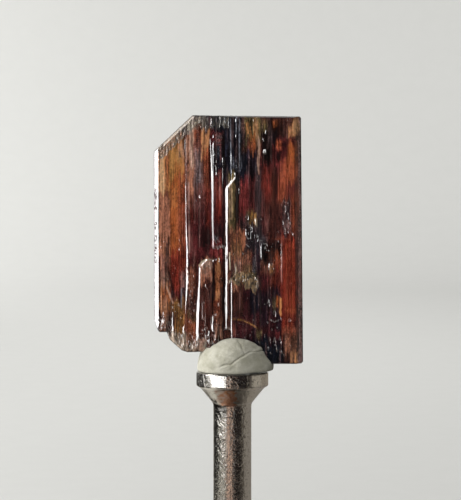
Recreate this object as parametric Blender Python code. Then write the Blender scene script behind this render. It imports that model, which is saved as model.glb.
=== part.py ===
"""A tabular brookite crystal that stands in a lump of putty on a headed metal pin.

Lengths are in millimetres here and become metres when a mesh is made. +Z is up, the crystal's striated
front looks along -Y, and the origin is on the pin's axis, under the foot. The crystal has its own
measures: across from its left edge, up from its lowest point, and out from the slab's two faces.
"""

import math
import random

import bmesh
import bpy
from mathutils import Matrix, Vector

MM = 0.001
GAP = 0.1  # between pieces that touch

# The pin: a rod with a flat head, and the foot that it is pressed into.
ROD_RADIUS = 1.6
HEAD_RADIUS = 3.02
HEAD_TOP = 16.5
RIM_HEIGHT = 1.2
NECK_HEIGHT = 1.55
FOOT_RADIUS = 9.0
FOOT_HEIGHT = 2.6
FOOT_CHAMFER = 0.35
HUB_RADIUS = 2.9
HUB_HEIGHT = 0.5
SOCKET_FLOOR = 0.8
TURNED_SIDES = 48

# The putty: a pressed dome that overhangs the head.
PUTTY_RADIUS = 3.2
PUTTY_HEIGHT = 3.2
PUTTY_OFFSET = 0.1
PUTTY_FULLNESS = 3.2  # 2 is an ellipsoid, and more is squarer
PUTTY_SIDES = 40
PUTTY_RINGS = 9

# The crystal.
CRYSTAL_LEFT = -6.53
CRYSTAL_BASE = HEAD_TOP + 0.77
WIDTH = 12.42
HEIGHT = 20.75
HALF_SLAB = 1.15
STEP_ANGLE = math.radians(37)  # how far the step faces turn away from the broad face
END_SLOPE = 1.2  # how steeply a lath's end rises from the face
SINK = 0.35  # how deep a lath's sides run on inside the slab
SINK_STEP = 0.006  # so that no two laths end at one depth

# The outline in front view, as (across, up): a flat top, a bevelled left shoulder and a broken foot.
OUTLINE = [
    (0.0, 3.7), (0.3, 2.8), (0.46, 2.63), (1.05, 2.63), (1.3, 2.04), (2.3, 1.18), (2.74, 1.01),
    (4.08, 1.01), (4.5, 1.27), (5.3, 1.0), (7.0, 0.85), (8.6, 0.75), (9.0, 0.0), (12.3, 0.0),
    (12.42, 0.12), (12.18, 20.5), (12.08, 20.6), (3.0, 20.75), (0.0, 17.9),
]

# Laths on the front, each a long low crystal grown on the slab: (left edge at its foot and at its top,
# right edge at both, lower end, upper end, height above the slab at both ends).
FRONT_LATHS = [
    (2.66, 2.61, 12.06, 11.90, 1.9, 19.6, 0.09, 0.09),  # step beside the left panel
    (4.86, 4.70, 6.90, 6.90, 9.3, 20.0, 0.21, 0.21),  # step beside the dark panel
    (6.20, 6.20, 11.98, 11.82, -1.0, 22.0, 0.22, 0.22),  # the right half
    (5.92, 5.88, 6.25, 6.84, 0.8, 16.4, 0.30, 0.44),  # the long middle crystal
    (3.42, 3.75, 5.72, 5.76, 0.6, 8.9, 0.30, 0.29),  # the crystal at the foot
    (4.72, 4.85, 5.42, 5.38, 0.7, 4.3, 0.39, 0.38),  # two small ones on it
    (4.38, 4.55, 5.05, 4.95, 0.6, 2.9, 0.42, 0.40),
    (6.33, 6.33, 8.75, 8.60, 0.5, 7.4, 0.32, 0.31),  # the ragged ledge, and its uneven teeth
    (6.42, 6.42, 7.08, 7.00, 0.3, 7.95, 0.37, 0.36),
    (7.16, 7.15, 7.60, 7.52, 0.4, 7.05, 0.40, 0.39),
    (7.74, 7.75, 8.20, 8.12, 0.6, 7.75, 0.36, 0.35),
    (8.14, 8.14, 8.68, 8.56, 0.9, 6.20, 0.39, 0.38),
    (0.62, 0.60, 1.26, 1.18, 0.5, 4.6, 0.06, 0.12),  # stubs at the broken foot
    (1.36, 1.32, 2.20, 2.08, 0.5, 5.9, 0.06, 0.13),
    (2.36, 2.30, 3.22, 3.10, 0.3, 3.6, 0.17, 0.16),
    (10.64, 10.60, 11.86, 11.84, 2.6, 11.0, 0.28, 0.28),  # the clear right column
    (8.95, 8.97, 9.70, 9.62, 6.0, 10.3, 0.31, 0.30),
    (6.28, 6.30, 6.56, 6.54, 15.4, 22.0, 0.33, 0.33),  # three ribs above the long crystal
    (6.72, 6.72, 6.96, 6.94, 16.0, 22.0, 0.31, 0.31),
    (7.08, 7.08, 7.30, 7.28, 15.0, 22.0, 0.30, 0.30),
]

# Laths on the back, in the same measures.
BACK_LATHS = [
    (1.30, 1.25, 9.60, 9.70, -1.0, 22.0, 0.12, 0.12),
    (2.10, 2.15, 5.10, 5.00, -1.0, 15.2, 0.30, 0.28),
    (3.05, 3.00, 4.30, 4.40, -1.0, 8.8, 0.42, 0.40),
    (5.90, 6.00, 8.80, 8.70, 4.1, 22.0, 0.27, 0.29),
    (6.70, 6.80, 7.70, 7.60, 9.3, 22.0, 0.38, 0.40),
    (9.90, 9.85, 11.40, 11.30, 2.2, 18.4, 0.18, 0.17),
]

# Bands of narrow striations that run along the crystal: (across from, to, lower, upper, least height,
# greatest height, how many). The front's come first.
FRONT_BANDS = [
    (0.55, 2.55, 2.9, 17.4, 0.02, 0.06, 5),
    (2.90, 4.65, 9.2, 19.2, 0.11, 0.15, 5),
    (7.50, 10.50, 0.2, 20.4, 0.24, 0.30, 9),
    (10.75, 11.75, 12.0, 20.4, 0.24, 0.28, 3),
]
BACK_BANDS = [
    (0.50, 2.00, 3.4, 17.0, 0.02, 0.08, 4),
    (2.20, 6.00, 1.2, 19.8, 0.14, 0.22, 7),
    (8.80, 11.70, 0.4, 20.2, 0.03, 0.15, 6),
]
STRIATION_SEED = 11

# Etch pits, as (across, up, half width, half length, depth): on the front, then on the back.
FRONT_PITS = [
    (9.30, 18.10, 0.16, 0.62, 0.16), (9.12, 18.95, 0.10, 0.30, 0.12), (9.20, 20.25, 0.14, 0.42, 0.14),
    (10.85, 13.30, 0.18, 0.55, 0.14), (11.15, 12.60, 0.15, 0.40, 0.16), (10.70, 11.95, 0.13, 0.36, 0.14),
    (11.62, 11.15, 0.12, 0.30, 0.15), (8.02, 11.50, 0.20, 0.48, 0.14), (7.75, 12.45, 0.14, 0.40, 0.12),
    (8.55, 10.70, 0.15, 0.44, 0.12), (9.85, 8.30, 0.14, 0.34, 0.16), (9.80, 7.40, 0.12, 0.30, 0.12),
    (10.20, 14.40, 0.12, 0.50, 0.10), (9.55, 5.10, 0.15, 0.52, 0.12), (10.05, 4.20, 0.16, 0.40, 0.12),
    (9.62, 1.90, 0.10, 0.42, 0.14), (10.05, 1.80, 0.10, 0.48, 0.14), (10.50, 1.95, 0.09, 0.40, 0.13),
    (10.90, 1.85, 0.10, 0.45, 0.14), (6.83, 20.70, 0.10, 0.34, 0.16), (8.25, 20.70, 0.12, 0.36, 0.16),
    (11.15, 20.60, 0.09, 0.40, 0.16), (5.10, 19.50, 0.12, 0.36, 0.10), (2.05, 4.9, 0.13, 0.40, 0.10),
]
BACK_PITS = [
    (2.60, 17.20, 0.20, 0.55, 0.14), (3.60, 12.10, 0.16, 0.50, 0.14), (7.20, 6.60, 0.20, 0.60, 0.14),
    (8.40, 13.20, 0.16, 0.46, 0.13), (10.60, 16.10, 0.18, 0.52, 0.12), (10.40, 6.30, 0.16, 0.48, 0.13),
    (5.40, 17.60, 0.15, 0.44, 0.12), (9.20, 2.50, 0.14, 0.40, 0.12),
]

# Grooves along the two narrow sides, as (deep, half width, depth).
SIDE_GROOVES = [(-0.52, 0.07, 0.05), (-0.2, 0.12, 0.07), (0.16, 0.06, 0.04), (0.5, 0.1, 0.06)]

# Bevels of the slab: how wide each is in front view, and how deep it cuts.
SIDE_BEVEL = (0.38, 0.29)
SHOULDER_BEVEL = (0.72, 0.62)
TOP_BEVEL = (0.66, 0.5)
TOP_BEVEL_SPAN = (3.2, 6.3)
TOP_EDGE_BEVEL = (0.14, 0.14)

FAR = 30.0  # half a cutter's reach, past every side of the crystal


def clear_scene():
    for thing in list(bpy.data.objects):
        bpy.data.objects.remove(thing, do_unlink=True)


def finish(name, colour, roughness, metallic, transmission=0.0):
    """A Principled material with the piece's plain colour."""
    material = bpy.data.materials.new(name)
    material.use_nodes = True
    shader = material.node_tree.nodes["Principled BSDF"]
    shader.inputs["Base Color"].default_value = (*colour, 1.0)
    shader.inputs["Roughness"].default_value = roughness
    shader.inputs["Metallic"].default_value = metallic
    shader.inputs["Transmission Weight"].default_value = transmission
    return material


def make_object(name, shape, collection=None):
    """An object from a bmesh. It stays in millimetres, which suit the Booleans, until set_in_metres."""
    bmesh.ops.recalc_face_normals(shape, faces=shape.faces)
    mesh = bpy.data.meshes.new(name)
    shape.to_mesh(mesh)
    shape.free()
    made = bpy.data.objects.new(name, mesh)
    (collection or bpy.context.scene.collection).objects.link(made)
    return made


def set_in_metres(piece):
    """Makes piece a plain mesh in metres, as its modifiers leave it."""
    graph = bpy.context.evaluated_depsgraph_get()
    mesh = bpy.data.meshes.new_from_object(piece.evaluated_get(graph))
    mesh.transform(Matrix.Scale(MM, 4))
    piece.modifiers.clear()
    piece.data = mesh


def helper_collection(name):
    """A collection of shapes that only join or cut others."""
    made = bpy.data.collections.new(name)
    made.hide_render = True
    bpy.context.scene.collection.children.link(made)
    return made


def make_helper(name, shape, collection):
    made = make_object(name, shape, collection)
    made.hide_render = True
    made.display_type = "WIRE"
    return made


def hull_of(points):
    """The convex solid around some points."""
    shape = bmesh.new()
    for point in points:
        shape.verts.new(point)
    made = bmesh.ops.convex_hull(shape, input=shape.verts)
    inner = [v for v in made["geom_interior"] if isinstance(v, bmesh.types.BMVert)]
    bmesh.ops.delete(shape, geom=inner, context="VERTS")
    return shape


def crystal_point(across, out, up, side):
    """A point of the crystal; side is -1 on the front and 1 on the back."""
    return Vector((CRYSTAL_LEFT + across, side * (HALF_SLAB + out), CRYSTAL_BASE + up))


def lath(left, right, low, high, heights, sink, side):
    """A low crystal whose sides and ends slope: left, right and heights are pairs, at its foot and top."""
    points = []
    ends = ((low, -1.0), (high, 1.0))
    for (end, away), left_edge, right_edge, height in zip(ends, left, right, heights):
        for out in (-sink, height):
            slant = out / math.tan(STEP_ANGLE)
            level = end - away * out / END_SLOPE
            points.append(crystal_point(left_edge + slant, out, level, side))
            points.append(crystal_point(right_edge - slant, out, level, side))
    return hull_of(points)


def striations(bands, chance):
    """Narrow laths of uneven width, height and length, in the form of FRONT_LATHS."""
    for start, stop, low, high, least, greatest, count in bands:
        pitch = (stop - start) / count
        for index in range(count):
            left = start + pitch * (index + chance.uniform(0.0, 0.3))
            right = left + pitch * chance.uniform(0.45, 0.85)
            height = chance.uniform(least, greatest)
            lean = chance.uniform(-0.02, 0.02)
            foot = low + chance.uniform(0.0, 0.25) * (high - low)
            top = high - chance.uniform(0.0, 0.25) * (high - low)
            yield (left, left + lean, right, right + lean, foot, top, height, height)


def pit(across, up, half_width, half_length, depth, out, side):
    """A cutter whose end is a long four-sided point, sunk into the face at a height of out."""
    points = [crystal_point(across, out - depth, up, side)]
    for level, grown in ((out, 1.0), (out + 0.2, 1.0 + 0.2 / depth)):
        wide, long = half_width * grown, half_length * grown
        points += [
            crystal_point(across - wide, level, up, side), crystal_point(across + wide, level, up, side),
            crystal_point(across, level, up - long, side), crystal_point(across, level, up + long, side),
        ]
    return hull_of(points)


def height_at(laths, across, up):
    """How far the highest lath stands out from the slab at a place."""
    heights = [0.0]
    for left, _, right, _, low, high, out, _ in laths:
        if left < across < right and low < up < high:
            heights.append(out)
    return max(heights)


def side_groove(deep, half_width, depth, left):
    """A V-shaped cutter along one narrow side."""
    edge, inward = (0.0, depth) if left else (WIDTH, -depth)
    points = []
    for up in (-2.0, HEIGHT + 2.0):
        # The right side leans in towards the top, as the outline does.
        lean = 0.0 if left else (OUTLINE[15][0] - OUTLINE[14][0]) * up / HEIGHT
        x = CRYSTAL_LEFT + edge + lean
        points += [
            (x + inward, deep, CRYSTAL_BASE + up),
            (x - inward, deep - 2 * half_width, CRYSTAL_BASE + up),
            (x - inward, deep + 2 * half_width, CRYSTAL_BASE + up),
        ]
    return hull_of(points)


def block(low, high):
    """A box from its two corners."""
    shape = bmesh.new()
    bmesh.ops.create_cube(shape, size=1.0)
    middle, size = (Vector(low) + Vector(high)) / 2, Vector(high) - Vector(low)
    bmesh.ops.scale(shape, vec=size, verts=shape.verts)
    bmesh.ops.translate(shape, vec=middle, verts=shape.verts)
    return shape


def bevel_cutter(edge, along, inward, wide, deep, side, span=FAR):
    """A block that takes a bevel off the slab. edge is a point on the outline, along the edge's direction
    and inward the way into the crystal, both in the plane of the face; span is half the cut's length."""
    along, inward = Vector(along).normalized(), Vector(inward).normalized()
    outward = Vector((0.0, float(side), 0.0))
    # From the face, wide inside the outline, down to the outline, deep under the face.
    slope = (inward * wide + outward * deep).normalized()
    normal = (outward * wide - inward * deep).normalized()
    shape = block((-span, -FAR, 0.0), (span, FAR, FAR))
    turn = Matrix((along, slope, normal)).transposed().to_4x4()
    start = crystal_point(edge[0], 0.0, edge[1], side) - outward * deep
    bmesh.ops.transform(shape, matrix=Matrix.Translation(start) @ turn, verts=shape.verts)
    return shape


def outline_plate():
    """The front view's outline, as thick as any lath needs."""
    shape = bmesh.new()
    front = [shape.verts.new(crystal_point(across, 2.0, up, -1)) for across, up in OUTLINE]
    face = shape.faces.new(front)
    moved = bmesh.ops.extrude_face_region(shape, geom=[face])["geom"]
    corners = [v for v in moved if isinstance(v, bmesh.types.BMVert)]
    bmesh.ops.translate(shape, vec=(0.0, 2 * (HALF_SLAB + 2.0), 0.0), verts=corners)
    return shape


def boolean(target, operation, other):
    """Joins, cuts or trims target with an object, or with each object of a collection."""
    modifier = target.modifiers.new(operation.title(), "BOOLEAN")
    modifier.operation = operation
    modifier.solver = "EXACT"
    if isinstance(other, bpy.types.Collection):
        modifier.operand_type = "COLLECTION"
        modifier.collection = other
    else:
        modifier.object = other


def make_crystal():
    """The slab with its laths and striations, trimmed to the outline and bevelled along its edges."""
    crystal = make_object(
        "brookite_crystal",
        block(crystal_point(-1.0, 0.0, -2.0, -1), crystal_point(WIDTH + 1.0, 0.0, HEIGHT + 2.0, 1)),
    )
    chance = random.Random(STRIATION_SEED)
    growths = helper_collection("growths")
    front = FRONT_LATHS + list(striations(FRONT_BANDS, chance))
    back = BACK_LATHS + list(striations(BACK_BANDS, chance))
    for side, laths in ((-1, front), (1, back)):
        for index, one in enumerate(laths):
            left_low, left_high, right_low, right_high, low, high, out_low, out_high = one
            sink = SINK + SINK_STEP * index
            shape = lath((left_low, left_high), (right_low, right_high), low, high,
                         (out_low, out_high), sink, side)
            make_helper("growth", shape, growths)
    boolean(crystal, "UNION", growths)
    helpers = helper_collection("trimmers")
    boolean(crystal, "INTERSECT", make_helper("outline", outline_plate(), helpers))

    cuts = helper_collection("bevels")
    shoulder = Vector((3.0, 0.0, 20.75 - 17.9))
    into_shoulder = Vector((shoulder.z, 0.0, -shoulder.x))
    for side in (-1, 1):
        edges = [
            ((0.0, 10.0), (0, 0, 1), (1, 0, 0), *SIDE_BEVEL, FAR),
            ((WIDTH - 0.12, 10.0), (0, 0, 1), (-1, 0, 0), *SIDE_BEVEL, FAR),
            ((1.5, 19.325), shoulder, into_shoulder, *SHOULDER_BEVEL, FAR),
            ((6.0, 20.7), (1, 0, 0), (0, 0, -1), *TOP_EDGE_BEVEL, FAR),
        ]
        if side < 0:
            middle = sum(TOP_BEVEL_SPAN) / 2
            half = (TOP_BEVEL_SPAN[1] - TOP_BEVEL_SPAN[0]) / 2
            edges.append(((middle, 20.7), (1, 0, 0), (0, 0, -1), *TOP_BEVEL, half))
        for edge, along, inward, wide, deep, span in edges:
            make_helper("bevel", bevel_cutter(edge, along, inward, wide, deep, side, span), cuts)
        laths, pits = ((FRONT_LATHS, FRONT_PITS) if side < 0 else (BACK_LATHS, BACK_PITS))
        for across, up, half_width, half_length, depth in pits:
            out = height_at(laths, across, up)
            make_helper("pit", pit(across, up, half_width, half_length, depth, out, side), cuts)
    for deep, half_width, depth in SIDE_GROOVES:
        for left in (True, False):
            make_helper("groove", side_groove(deep, half_width, depth, left), cuts)
    boolean(crystal, "DIFFERENCE", cuts)
    crystal.data.materials.append(
        finish("brookite", (0.20, 0.045, 0.018), 0.08, 0.0, transmission=0.4))
    return crystal


def turned(profile):
    """A closed profile of (radius, height) points from axis to axis, spun round the Z axis."""
    shape = bmesh.new()
    line = [shape.verts.new((radius, 0.0, height)) for radius, height in profile]
    edges = [shape.edges.new(pair) for pair in zip(line, line[1:])]
    bmesh.ops.spin(shape, geom=line + edges, cent=(0, 0, 0), axis=(0, 0, 1),
                   angle=math.tau, steps=TURNED_SIDES, use_merge=True)
    bmesh.ops.remove_doubles(shape, verts=shape.verts, dist=1e-5)
    return shape


def smooth_round(piece):
    piece.data.shade_smooth()
    piece.data.set_sharp_from_angle(angle=math.radians(35))


def make_pin():
    """The rod and its flared head."""
    rim_foot = HEAD_TOP - RIM_HEIGHT
    neck_foot = rim_foot - NECK_HEIGHT
    profile = [
        (0.0, SOCKET_FLOOR + GAP), (ROD_RADIUS, SOCKET_FLOOR + GAP), (ROD_RADIUS, neck_foot - 0.1),
        (ROD_RADIUS + 0.09, neck_foot + 0.2), (HEAD_RADIUS - 0.5, rim_foot - 0.22),
        (HEAD_RADIUS - 0.12, rim_foot - 0.04), (HEAD_RADIUS, rim_foot + 0.12),
        (HEAD_RADIUS, HEAD_TOP - 0.1), (HEAD_RADIUS - 0.1, HEAD_TOP), (0.0, HEAD_TOP),
    ]
    pin = make_object("pin", turned(profile))
    smooth_round(pin)
    pin.data.materials.append(finish("nickel_plated_steel", (0.62, 0.60, 0.57), 0.22, 1.0))
    return pin


def make_foot():
    """A plain disc with a low hub round the rod."""
    hub_top = FOOT_HEIGHT + HUB_HEIGHT
    socket = ROD_RADIUS + GAP
    profile = [
        (0.0, 0.0), (FOOT_RADIUS - FOOT_CHAMFER, 0.0), (FOOT_RADIUS, FOOT_CHAMFER),
        (FOOT_RADIUS, FOOT_HEIGHT - FOOT_CHAMFER), (FOOT_RADIUS - FOOT_CHAMFER, FOOT_HEIGHT),
        (HUB_RADIUS, FOOT_HEIGHT), (HUB_RADIUS, hub_top - 0.15), (HUB_RADIUS - 0.15, hub_top),
        (socket, hub_top), (socket, SOCKET_FLOOR), (0.0, SOCKET_FLOOR),
    ]
    foot = make_object("foot", turned(profile))
    smooth_round(foot)
    foot.data.materials.append(finish("satin_nickel", (0.55, 0.54, 0.52), 0.35, 1.0))
    return foot


def putty_radius(angle, rise):
    """The dome's radius at a share, rise, of its height: full at the foot, with a lobe on the right."""
    dome = math.sqrt(max(0.0, 1.0 - rise ** PUTTY_FULLNESS))
    lobe = 0.05 * max(0.0, math.cos(angle)) ** 6 * (1.0 - rise)
    lumps = 0.025 * math.sin(3.0 * angle + 1.2) + 0.015 * math.sin(5.0 * angle + 4.0 * rise)
    return PUTTY_RADIUS * (dome * (1.0 + lumps) + lobe)


def putty_dome():
    """Rings of the dome, from a tucked-in foot to its crown."""
    shape = bmesh.new()
    foot = HEAD_TOP + GAP
    rings = [(0.9, 0.0), (1.0, 0.09)]
    rings += [(1.0, 0.09 + 0.91 * math.sin(0.5 * math.pi * n / PUTTY_RINGS)) for n in range(1, PUTTY_RINGS)]
    loops = []
    for tuck, rise in rings:
        loop = []
        for step in range(PUTTY_SIDES):
            angle = math.tau * step / PUTTY_SIDES
            radius = tuck * putty_radius(angle, rise)
            loop.append(shape.verts.new((PUTTY_OFFSET + radius * math.cos(angle),
                                         radius * math.sin(angle), foot + PUTTY_HEIGHT * rise)))
        loops.append(loop)
    for lower, upper in zip(loops, loops[1:]):
        for step in range(PUTTY_SIDES):
            after = (step + 1) % PUTTY_SIDES
            shape.faces.new((lower[step], lower[after], upper[after], upper[step]))
    shape.faces.new(list(reversed(loops[0])))
    crown = shape.verts.new((PUTTY_OFFSET, 0.0, foot + PUTTY_HEIGHT))
    for step in range(PUTTY_SIDES):
        shape.faces.new((loops[-1][step], loops[-1][(step + 1) % PUTTY_SIDES], crown))
    return shape


def putty_slot():
    """What the crystal's foot takes out of the putty: the outline, grown by the gap and open at the top."""
    shape = bmesh.new()
    deep = HALF_SLAB + 0.46 + GAP
    floor = [(-1.0, 0.9), (4.6, 0.9), (8.5, 0.62), (8.9, -GAP), (13.5, -GAP)]
    line = [*floor, (13.5, 6.0), (-1.0, 6.0)]
    front = [shape.verts.new((CRYSTAL_LEFT + across, -deep, CRYSTAL_BASE + up)) for across, up in line]
    moved = bmesh.ops.extrude_face_region(shape, geom=[shape.faces.new(front)])["geom"]
    corners = [v for v in moved if isinstance(v, bmesh.types.BMVert)]
    bmesh.ops.translate(shape, vec=(0.0, 2 * deep, 0.0), verts=corners)
    return shape


def make_putty():
    """The dome, with the slot that the crystal stands in."""
    putty = make_object("putty", putty_dome())
    boolean(putty, "DIFFERENCE", make_helper("slot", putty_slot(), helper_collection("slots")))
    smooth_round(putty)
    putty.data.materials.append(finish("putty", (0.62, 0.60, 0.52), 0.85, 0.0))
    return putty


def main():
    clear_scene()
    for piece in (make_foot(), make_pin(), make_putty(), make_crystal()):
        set_in_metres(piece)


main()
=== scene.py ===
"""Looks of a brookite crystal that stands in putty on a headed pin.

Lengths are in millimetres until a mesh is made. The crystal has its own measures: across from its left
edge, up from its lowest point, and out from the slab's two faces. +Z is up and its striated front looks
along -Y.
"""

import math
import random

import bpy
import numpy as np
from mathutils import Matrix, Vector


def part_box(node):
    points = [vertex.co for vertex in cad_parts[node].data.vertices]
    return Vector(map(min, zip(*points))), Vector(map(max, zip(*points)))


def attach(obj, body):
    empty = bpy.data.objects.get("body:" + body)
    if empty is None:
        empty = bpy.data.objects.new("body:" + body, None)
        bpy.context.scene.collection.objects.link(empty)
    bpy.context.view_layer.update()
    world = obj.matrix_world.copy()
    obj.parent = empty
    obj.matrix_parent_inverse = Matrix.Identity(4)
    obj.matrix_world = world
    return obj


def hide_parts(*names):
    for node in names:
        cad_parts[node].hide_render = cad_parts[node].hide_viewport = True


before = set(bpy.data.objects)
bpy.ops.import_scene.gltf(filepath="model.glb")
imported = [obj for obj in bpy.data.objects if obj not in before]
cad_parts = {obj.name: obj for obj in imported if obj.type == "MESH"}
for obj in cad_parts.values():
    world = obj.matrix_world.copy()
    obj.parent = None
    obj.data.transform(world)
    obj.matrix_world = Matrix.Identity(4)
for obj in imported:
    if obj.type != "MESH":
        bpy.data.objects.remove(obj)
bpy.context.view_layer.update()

MM = 0.001

# Where the frame puts the pieces.
CRYSTAL_LEFT, CRYSTAL_BASE = np.array(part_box("brookite_crystal")[0])[[0, 2]] / MM
PIN_LOW, PIN_HIGH = np.array(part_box("pin")) / MM
HEAD_RADIUS, HEAD_TOP = PIN_HIGH[0], PIN_HIGH[2]
FOOT_HIGH = np.array(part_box("foot")[1]) / MM

# The crystal's build, as its solid has it.
WIDTH = 12.45
HALF_SLAB = 1.15
STEP_SLOPE = math.tan(math.radians(37))  # how steeply a lath's sides rise from the face
END_SLOPE = 1.2  # how steeply its ends do
MOST_OUT = 0.43  # what no growth on the slab exceeds
LOWER_EDGE = [
    (0.0, 3.7), (0.3, 2.8), (0.46, 2.63), (1.05, 2.63), (1.3, 2.0), (2.3, 1.1), (2.74, 0.95),
    (4.08, 0.97), (4.5, 1.27), (5.3, 1.0), (7.0, 0.85), (8.6, 0.75), (9.0, 0.0), (12.3, 0.0), (12.42, 0.12),
]
UPPER_EDGE = [(0.0, 17.72), (3.18, 20.71), (12.14, 20.62), (12.24, 20.5)]
RIGHT_LEAN = (WIDTH - UPPER_EDGE[-1][0]) / UPPER_EDGE[-1][1]  # of its right edge, for each unit upwards

# Laths on the front: (left edges and right edges from its lower end to its upper one, lower end, upper
# end, what it stands on, and how far out it comes from its lower end to its upper one).
FAR_RIGHT = (12.8,)
FRONT_LATHS = [
    # step beside the left panel
    ((2.57, 2.57, 2.66, 2.69, 2.62, 2.60, 2.57, 2.56), FAR_RIGHT, 1.86, 19.51, 0.0,
     (0.05, 0.05, 0.15, 0.11, 0.06, 0.055, 0.05, 0.045)),
    # step beside the dark panel
    ((4.86, 4.84, 4.82, 4.78, 4.70), FAR_RIGHT, 9.7, 19.02, 0.09, (0.19, 0.21, 0.20, 0.15, 0.09)),
    # what fills the corner between the crystal at the foot and the right half
    ((5.30,), FAR_RIGHT, -1.0, 2.9, 0.09, (0.24,)),
    # the right half
    ((6.20,), FAR_RIGHT, -1.0, 22.0, 0.0, (0.22,)),
    # two small ones on it
    ((4.72, 4.82), (5.44,), 0.69, 4.12, 0.27, (0.38, 0.37)),
    ((4.40, 4.56), (4.92,), 0.59, 2.84, 0.27, (0.40, 0.38)),
    # the ledge
    ((6.38,), (8.95,), 0.49, 7.16, 0.22, (0.32,)),
    # stubs at the broken foot
    ((0.66,), (1.10,), 0.49, 4.31, 0.0, (0.05, 0.08)),
    ((1.50,), (1.95,), 0.49, 4.31, 0.0, (0.07,)),
    ((2.36,), (2.66,), 0.29, 3.24, 0.0, (0.10,)),
    # the clear right column
    ((10.62,), FAR_RIGHT, -1.0, 10.79, 0.22, (0.25,)),
]
# Laths with a slanting tip, each with the line from one point to another that cuts it: the long middle
# crystal and the one at the foot.
TIPPED_LATHS = [
    (((6.05, 6.04, 6.04, 6.04, 6.04, 6.06, 5.96, 5.94, 5.93, 5.92, 5.91),
      (6.38, 6.38, 6.38, 6.40, 6.76, 6.90, 7.00, 7.03, 7.03, 7.03, 7.03), 2.94, 16.13, 0.21,
      (0.23, 0.27, 0.26, 0.28, 0.29, 0.29, 0.33, 0.38, 0.40, 0.40, 0.41)),
     ((5.92, 14.70), (6.80, 15.84))),
    (((3.48, 3.68), (5.72,), 0.59, 8.78, 0.09, (0.22, 0.24, 0.27)),
     ((3.76, 8.26), (4.16, 8.70))),
]
# A gentle rise to the right half, above the dark panel, as (from across, from up, how steeply it rises to
# the right, how steeply it rises upwards, how far out it comes).
CREST = (5.35, 16.4, 0.22, 0.12, 0.22)
# The ledge: from and to across, and its lower and upper edges.
LEDGE_SPAN = (6.42, 8.6)
LEDGE_FOOT = [(6.5, 7.0), (6.7, 6.6), (7.1, 6.5), (7.2, 7.1), (7.45, 7.05), (7.6, 6.3), (8.1, 6.25),
              (8.25, 5.9), (8.5, 5.8), (8.6, 6.7)]
LEDGE_TOP = [(6.5, 7.2), (6.85, 7.6), (7.5, 7.72), (7.9, 7.55), (8.2, 7.3), (8.6, 7.1)]
# Nicks down the left bevel, as (across, from up, to up, how many, seed), and how big each is, as (half
# width, least and greatest half length, depth).
NICKS = (0.11, 8.4, 14.6, 34, 5)
NICK_SIZE = (0.06, 0.08, 0.16, 0.07)
NICK_STRAY = 0.05  # how far they stray from their line
# Laths on the back.
BACK_LATHS = [
    ((1.30, 1.25), (9.60, 9.70), -1.0, 22.0, 0.0, (0.12,)),
    ((2.10, 2.15), (5.10, 5.00), -1.0, 15.2, 0.12, (0.30, 0.28)),
    ((3.05, 3.00), (4.30, 4.40), -1.0, 8.8, 0.28, (0.42, 0.40)),
    ((5.90, 6.00), (8.80, 8.70), 4.1, 22.0, 0.12, (0.27, 0.29)),
    ((6.70, 6.80), (7.70, 7.60), 9.3, 22.0, 0.28, (0.38, 0.40)),
    ((9.90, 9.85), (11.40, 11.30), 2.2, 18.4, 0.0, (0.18, 0.17)),
]
# Bands of striations: (across from, to, lower, upper, what they stand on, least height, greatest height,
# how many).
FRONT_BANDS = [
    (0.55, 2.50, 2.84, 17.06, 0.0, 0.01, 0.03, 9),
    (2.90, 4.60, 9.02, 18.83, 0.07, 0.01, 0.03, 8),
    (4.95, 5.85, 9.41, 18.83, 0.21, 0.01, 0.02, 5),
    (3.95, 5.60, 1.18, 8.43, 0.26, 0.01, 0.03, 7),
    (7.20, 11.90, 0.2, 20.0, 0.22, 0.01, 0.04, 24),
]
BACK_BANDS = [
    (0.50, 2.00, 3.4, 17.0, 0.0, 0.02, 0.06, 6),
    (2.20, 6.00, 1.2, 19.8, 0.12, 0.02, 0.08, 12),
    (6.00, 8.60, 4.2, 19.8, 0.27, 0.02, 0.06, 8),
    (8.80, 11.70, 0.4, 20.2, 0.0, 0.02, 0.10, 12),
]
STRIATION_SEED = 11
STRIATION_SLOPE = 1.9  # their sides are steeper than a lath's

# Etch pits, as (across, up, half width, half length, depth).
FRONT_PITS = [
    (10.85, 12.94, 0.18, 0.55, 0.12), (11.15, 12.36, 0.15, 0.40, 0.14), (10.70, 11.72, 0.13, 0.36, 0.12),
    (8.02, 11.28, 0.20, 0.48, 0.14), (7.75, 12.21, 0.14, 0.40, 0.12), (9.85, 8.14, 0.14, 0.34, 0.14),
    (8.55, 10.49, 0.15, 0.44, 0.12), (9.25, 9.51, 0.16, 0.50, 0.12), (10.20, 14.12, 0.12, 0.50, 0.08),
    (9.55, 5.0, 0.15, 0.52, 0.12), (10.05, 4.12, 0.16, 0.40, 0.12),
    (9.62, 1.86, 0.10, 0.42, 0.14), (10.05, 1.77, 0.10, 0.48, 0.14), (10.50, 1.91, 0.09, 0.40, 0.13),
    (3.62, 19.02, 0.08, 0.35, 0.06), (2.05, 4.8, 0.13, 0.40, 0.06), (1.35, 10.0, 0.1, 0.6, 0.06),
    (7.35, 7.06, 0.14, 0.5, 0.12), (11.3, 3.53, 0.2, 0.3, 0.06),
]
BACK_PITS = [
    (2.60, 17.20, 0.20, 0.55, 0.14), (3.60, 12.10, 0.16, 0.50, 0.14), (7.20, 6.60, 0.20, 0.60, 0.14),
    (8.40, 13.20, 0.16, 0.46, 0.13), (10.60, 16.10, 0.18, 0.52, 0.12), (10.40, 6.30, 0.16, 0.48, 0.13),
    (5.40, 17.60, 0.15, 0.44, 0.12), (9.20, 2.50, 0.14, 0.40, 0.12),
]
SIDE_GROOVES = [(-0.52, 0.07, 0.05), (-0.2, 0.12, 0.07), (0.16, 0.06, 0.04), (0.5, 0.1, 0.06)]

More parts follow.
